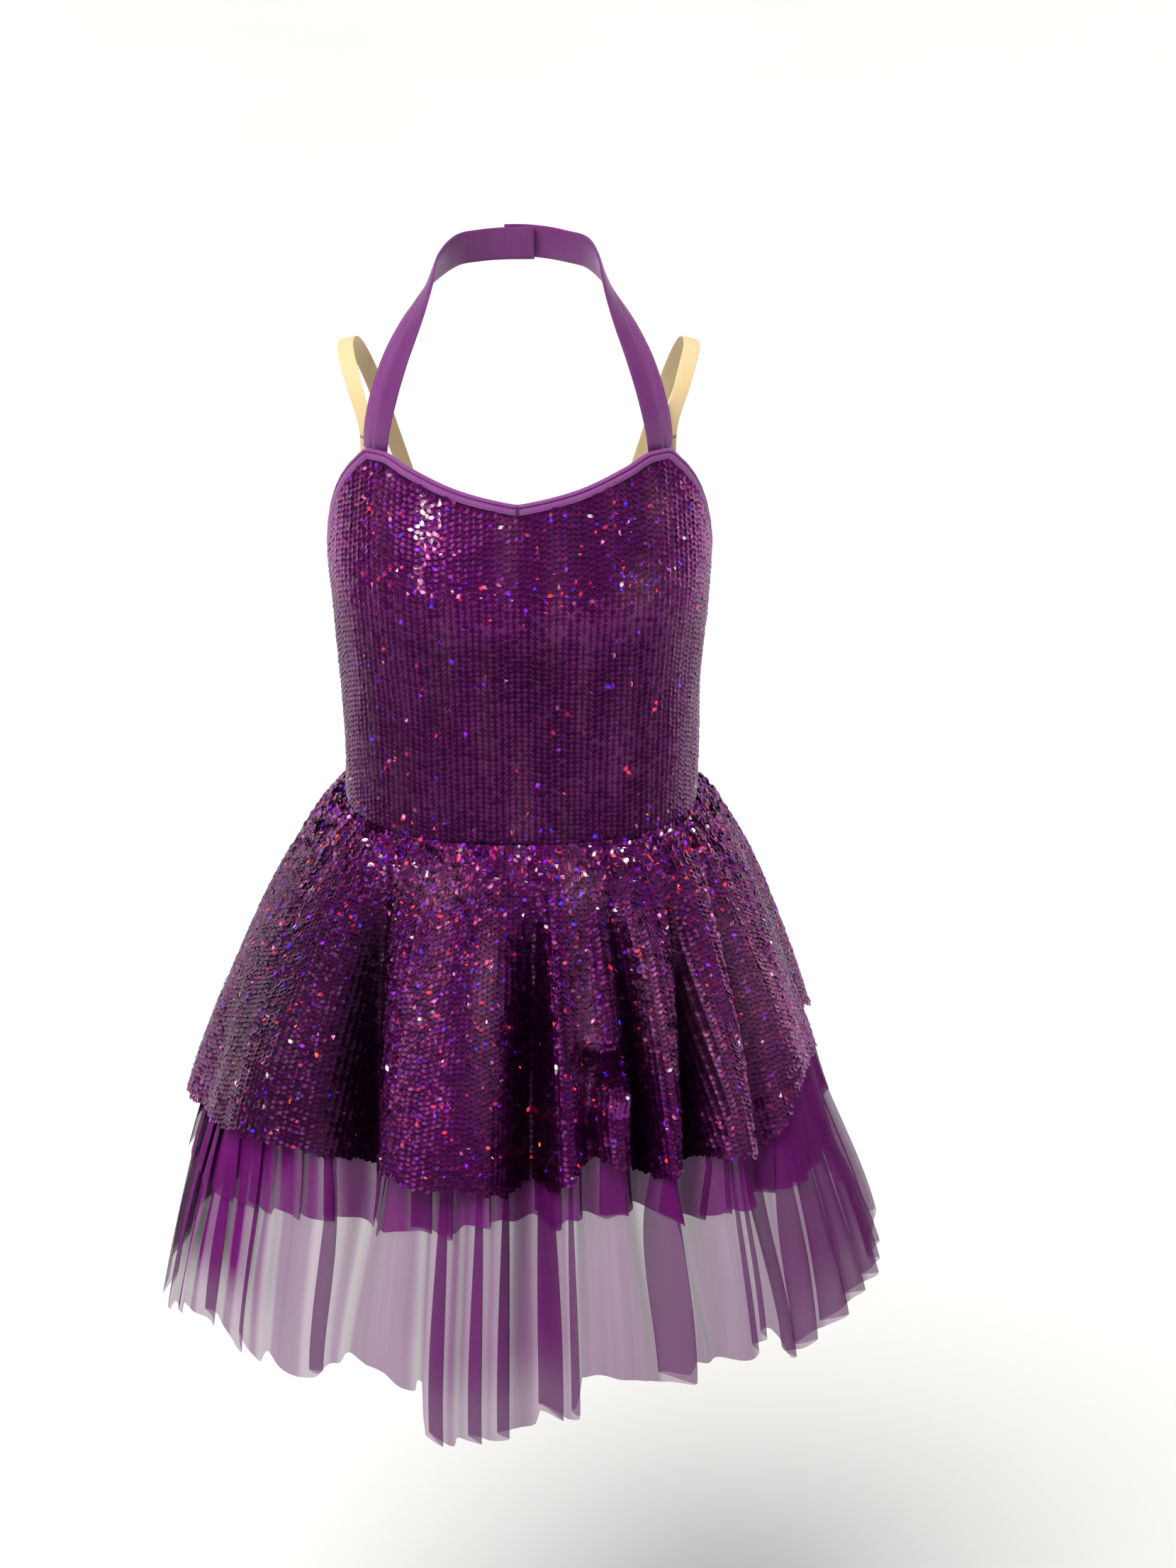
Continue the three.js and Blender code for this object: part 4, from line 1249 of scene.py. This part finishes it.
def brief_point(half, across, down):
    rows = BRIEF_ROWS[half]
    stations = np.array([(i / (len(rows) - 1), *row) for i, row in enumerate(rows)])
    across, down = np.broadcast_arrays(np.asarray(across, float), np.asarray(down, float))

    def at(column):
        upper = read(stations[:3], down, column)
        return np.where(down < SIDE_SEAM, upper, read(stations[2:], down, column))

    x, behind = oval(across * 90, at(1), 1, 1)
    middle = -behind
    y = at(4) + (at(2) - at(4)) * middle
    z = at(5) + (at(3) - at(5)) * middle
    return np.stack([x, y + 0.2 * HALVES[half] * (1 - middle), z], axis=-1)


def add_brief():
    across = np.linspace(-1, 1, 90)[None, :]
    down = np.linspace(0, 1, 91)[:, None]
    for half, sign in HALVES.items():
        points = brief_point(half, across, down)[::sign]
        name = f"brief_{half}_cloth"
        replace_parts(cloth(name, points, "brief_cloth", thick=BRIEF_THICK, held="stretched"), f"brief_{half}")
        if half == "front":
            add_gusset_lining(across[:, GUSSET_EDGE:-GUSSET_EDGE], down[GUSSET_FROM:])
    add_leg_elastics()


def add_gusset_lining(across, down):
    def front(u, w):
        return brief_point("front", u, w)

    normal = normal_of(front, across + 0 * down, down + 0 * across, 0.004)
    normal = normal * np.sign(normal[..., 2:3])
    points = (front(across, down) + normal * GUSSET_INSIDE)[::-1]
    lining = cloth("gusset_lining_cloth", points, "lining", thick=GUSSET_THICK, held="stretched")
    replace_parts(lining, "gusset_lining")


def leg_line(side):
    """The line of a leg elastic, down the front and up the back, beside the brief's panels."""
    downs = np.linspace(SIDE_SEAM + 1 / 18, 1, 40)
    lines = []
    for half, sign in HALVES.items():
        def point(u, w):
            return brief_point(half, u, w)

        edge = point(1, downs)
        along = point(1, np.minimum(downs + 0.02, 1)) - point(1, downs - 0.02)
        facing = normal_of(point, 0.98 + 0 * downs, downs, 0.001) * sign
        away = -turned_to(unit(np.cross(along, facing)), point(0.86, downs) - edge)
        lines.append((edge + away * LEG_ELASTIC_AWAY - facing * 0.8, facing))
    flip = np.array([side, 1, 1])
    return [np.concatenate([front, back[::-1]]) * flip for front, back in zip(*lines)]


def add_leg_elastics():
    dents = ((-0.6, 0.5, 0.4), (1.4, 0.5, 0.3))
    profile = flat_profile(BINDING_WIDE, LEG_ELASTIC_THICK, dents, crown=0.2)
    for side_name, side in SIDES.items():
        node = f"leg_elastic_{side_name}"
        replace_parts(sewn_band(f"{node}_satin", leg_line(side), profile, side, "satin", loop=True), node)


def add_waist():
    degrees = np.linspace(0, 360, 361)[None, :-1]
    heights = np.linspace(1.6, 11.6, 41)[:, None]
    normal = normal_of(body_point, degrees + 0 * heights, heights + 0 * degrees, 0.2)
    ribs = 0.18 * np.sin(heights * 2 * math.pi / WAIST_ELASTIC_RIB)
    points = body_point(degrees, heights) - normal * (WAIST_ELASTIC_INSIDE + ribs)[..., None]
    obj = cloth("waist_band_elastic", points, "elastic", thick=WAIST_ELASTIC_THICK, ring=True)
    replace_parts(obj, "waist_elastic")


def add_label():
    low, high = (Vector(corner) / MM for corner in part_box("care_label"))
    middle = (low.y + high.y) / 2
    x = np.linspace(low.x, high.x, 15)[None, :]
    z = np.linspace(low.z, high.z, 21)[:, None]
    curl = 0.5 * np.cos(x / 6) * ((high.z - z) / 30) ** 2
    points = np.stack(np.broadcast_arrays(x, middle - 0.2 - curl, z), axis=-1)
    obj = cloth("care_label_cloth", points, "label", thick=LABEL_THICK, held="hung",
                rests_on=["waist_band_elastic"])
    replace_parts(obj, "care_label")
    x = np.linspace(low.x + 1.5, high.x - 1.5, 8)
    places = np.stack([x, middle - 0.5 + 0 * x, high.z - 1.2 + 0 * x], axis=1)
    threads("care_label_stitches", places, (1, 0, 0), (0, -1, 0), 2.0, 0.35)


# ---- Stage ----
LAMPS = (  # name, place, width, power, colour
    ("key", (-1.9, -1.9, 2.4), 1.3, 14, (1.0, 0.97, 0.93)),
    ("side_left", (-2.2, 1.3, 0.5), 1.5, 9, (1.0, 0.93, 0.85)),
    ("side_right", (2.2, 1.3, 0.5), 1.5, 9, (1.0, 0.93, 0.85)),
)
FLOOR_RINGS = (0.01, 1.0, 3.0, 9.0, 40.0)
SEEN_WHITE = (0.97, 0.97, 0.97)
CAMERA_PLACE, CAMERA_AIM = Vector((0.041, -2.4, 1.1067)), Vector((0.041, 0.0, 0.004))
CAMERA_SEES = 0.97  # the height of what it sees, at its aim
CAMERA_SENSOR = 24


def add_room():
    """Light from all round: dim from the front, brighter from above and behind, white where it is seen."""
    world = bpy.data.worlds.new("soft_room")
    world.use_nodes = True
    bpy.context.scene.world = world
    room = Nodes(world.node_tree)
    background = world.node_tree.nodes["Background"]
    _, away, up = room.split(room.wire("ShaderNodeTexCoord"))
    settings = {"interpolation_type": "SMOOTHSTEP"}
    behind = room.wire("ShaderNodeMapRange", settings, {0: away, 1: 0.35, 2: 0.95, 3: 0.0, 4: 0.42})
    above = room.wire("ShaderNodeMapRange", settings, {0: up, 1: 0.15, 2: 0.75, 3: 0.0, 4: 0.32})
    level = behind + above + sizes().room_light
    seen = room.wire("ShaderNodeLightPath", output="Is Camera Ray")
    shade = room.blend(seen, room.blend(level, (0, 0, 0), (1, 1, 1)), SEEN_WHITE)
    room.set(background, "Color", shade)
    background.inputs["Strength"].default_value = 1.0


def add_stage():
    turns = np.radians(np.arange(0, 360, 5))[None, :]
    reach = np.array(FLOOR_RINGS)[:, None]
    flat = np.broadcast_arrays(reach * np.cos(turns), reach * np.sin(turns), FLOOR_HEIGHT)
    faces = grid_faces(len(reach), turns.size, ring=True)
    floor = mesh_object("floor", np.stack(flat, axis=-1) / MM, faces, "backdrop", body=None)
    del floor["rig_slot"]
    add_room()
    sun = add_lamp("soft_sun", "SUN", Vector((0.45, 0.8, -1.5)), 2.9, (1.0, 0.98, 0.95))
    sun.data.angle = math.radians(40)
    sun.visible_glossy = False
    for name, place, across, power, shade in LAMPS:
        lamp = add_lamp(name, "AREA", -Vector(place), power, shade)
        lamp.data.size = across
        lamp.location = place
    add_camera()


def add_lamp(name, kind, towards, power, shade):
    light = bpy.data.lights.new(name, kind)
    light.energy, light.color = power, shade
    lamp = bpy.data.objects.new(name, light)
    lamp.rotation_euler = towards.to_track_quat("-Z", "Y").to_euler()
    bpy.context.scene.collection.objects.link(lamp)
    return lamp


def add_camera():
    look = CAMERA_AIM - CAMERA_PLACE
    data = bpy.data.cameras.new("camera")
    data.sensor_fit = "VERTICAL"
    data.sensor_height = CAMERA_SENSOR
    data.lens = data.sensor_height * look.length / CAMERA_SEES
    camera = bpy.data.objects.new("camera", data)
    camera.location = CAMERA_PLACE
    camera.rotation_euler = look.to_track_quat("-Z", "Y").to_euler()
    bpy.context.scene.collection.objects.link(camera)
    bpy.context.scene.camera = camera
    bpy.context.scene.view_settings.view_transform = "Standard"


# ---- Add-on ----
def size(name, text, default, **extra):
    return bpy.props.FloatProperty(name=name, description=text, default=default, **extra)


def colour(name, text, default):
    settings = {"subtype": "COLOR", "min": 0, "max": 1}
    return bpy.props.FloatVectorProperty(name=name, description=text, default=default, **settings)


LENGTH = {"unit": "LENGTH"}
SHARE = {"subtype": "FACTOR", "min": 0, "max": 1}


class LeotardSizes(bpy.types.PropertyGroup):
    sequin_across: size("Sequin", "Width of one sequin", 0.0053, **LENGTH)
    sequin_pitch: size("Column pitch", "Distance between two columns of sequins", 0.0041, **LENGTH)
    sequin_row: size("Row pitch", "Distance between two sequins of a column", 0.0033, **LENGTH)
    sequin_lean: size("Sequin lean", "How far a sequin's lower edge stands out, in degrees", 13.5)
    tulle_cover: size("Tulle cover", "How much the long net hides", 0.73, **SHARE)
    short_tulle_cover: size("Short tulle cover", "How much the short net hides", 0.9, **SHARE)
    room_light: size("Room light", "Strength of the light from all round", 0.1)


class LeotardColours(bpy.types.PropertyGroup):
    sequin: colour("Sequins", "Film of the sequins", (0.125, 0.003, 0.115))
    # Colour of the painted sheen patches on the sequins.
    sequin_sheen: colour("Pale sequins", "Film where it shows paler", (0.27, 0.075, 0.19))
    ground: colour("Sequin cloth", "Mesh cloth under the sequins", (0.035, 0.0015, 0.035))
    satin: colour("Satin", "Bindings", (0.2, 0.04, 0.22))
    satin_light: colour("Satin highlight", "Lighter side of the satin", (0.33, 0.085, 0.34))
    satin_deep: colour("Satin shade", "Darker side of the satin", (0.135, 0.02, 0.14))
    tulle: colour("Tulle", "Net of the underskirts", (0.115, 0.004, 0.115))
    tulle_light: colour("Tulle light", "Paler parts of the net", (0.15, 0.01, 0.15))
    lining: colour("Lining", "Lining of the bodice", (0.075, 0.012, 0.09))
    brief: colour("Brief", "Cloth of the brief", (0.11, 0.012, 0.14))
    nude: colour("Nude elastic", "Straps over the shoulders", (1.0, 0.77, 0.42))


class Maker(bpy.types.Operator):
    """Makes one part of the leotard."""

    bl_options = {"REGISTER", "UNDO"}


class LEOTARD_OT_stage(Maker):
    """Puts up the pale backdrop, the lights and the camera."""

    bl_idname = "leotard.stage"
    bl_label = "Stage"

    def execute(self, context):
        add_stage()
        return {"FINISHED"}


class LEOTARD_OT_waist(Maker):
    """Makes the waist elastic and the blank care label."""

    bl_idname = "leotard.waist"
    bl_label = "Waist elastic and label"

    def execute(self, context):
        add_waist()
        add_label()
        return {"FINISHED"}


class LEOTARD_OT_bodice(Maker):
    """Makes the bodice's cloth, its lining and its sequins."""

    bl_idname = "leotard.bodice"
    bl_label = "Bodice"

    def execute(self, context):
        add_bodice()
        return {"FINISHED"}


class LEOTARD_OT_bindings(Maker):
    """Makes the satin bindings with their stitches and the tack in the notch."""

    bl_idname = "leotard.bindings"
    bl_label = "Bindings"

    def execute(self, context):
        add_bindings()
        return {"FINISHED"}


class LEOTARD_OT_halter(Maker):
    """Makes the two satin halter straps and finishes the snap that joins them."""

    bl_idname = "leotard.halter"
    bl_label = "Halter straps"

    def execute(self, context):
        add_halter_straps()
        add_snap()
        return {"FINISHED"}


class LEOTARD_OT_nude(Maker):
    """Makes the two skin-coloured elastic straps."""

    bl_idname = "leotard.nude"
    bl_label = "Nude straps"

    def execute(self, context):
        add_nude_straps()
        return {"FINISHED"}


class LEOTARD_OT_skirt(Maker):
    """Makes the sequinned skirt."""

    bl_idname = "leotard.skirt"
    bl_label = "Sequinned skirt"

    def execute(self, context):
        add_skirt()
        return {"FINISHED"}


class LEOTARD_OT_tulle(Maker):
    """Makes the two tulle underskirts."""

    bl_idname = "leotard.tulle"
    bl_label = "Tulle underskirts"

    def execute(self, context):
        add_tulle()
        return {"FINISHED"}


class LEOTARD_OT_brief(Maker):
    """Makes the brief, its gusset lining and its leg elastics."""

    bl_idname = "leotard.brief"
    bl_label = "Brief"

    def execute(self, context):
        add_brief()
        return {"FINISHED"}


OPERATORS = (
    LEOTARD_OT_stage, LEOTARD_OT_waist, LEOTARD_OT_bodice, LEOTARD_OT_bindings, LEOTARD_OT_halter,
    LEOTARD_OT_nude, LEOTARD_OT_skirt, LEOTARD_OT_tulle, LEOTARD_OT_brief,
)


class LEOTARD_PT_parts(bpy.types.Panel):
    """Lists the parts of the leotard."""

    bl_label = "Leotard"
    bl_space_type = "VIEW_3D"
    bl_region_type = "UI"
    bl_category = "Leotard"

    def draw(self, context):
        for group in (context.scene.leotard_sizes, context.scene.leotard_colours):
            for name in group.__annotations__:
                self.layout.prop(group, name)
        for operator in OPERATORS:
            self.layout.operator(operator.bl_idname)


CLASSES = (LeotardSizes, LeotardColours, *OPERATORS, LEOTARD_PT_parts)


def register():
    for cls in CLASSES:
        bpy.utils.register_class(cls)
    bpy.types.Scene.leotard_sizes = bpy.props.PointerProperty(type=LeotardSizes)
    bpy.types.Scene.leotard_colours = bpy.props.PointerProperty(type=LeotardColours)


def unregister():
    del bpy.types.Scene.leotard_colours
    del bpy.types.Scene.leotard_sizes
    for cls in reversed(CLASSES):
        bpy.utils.unregister_class(cls)


def main():
    register()
    for operator in OPERATORS:
        group, name = operator.bl_idname.split(".")
        getattr(getattr(bpy.ops, group), name)()


if __name__ == "__main__":
    main()
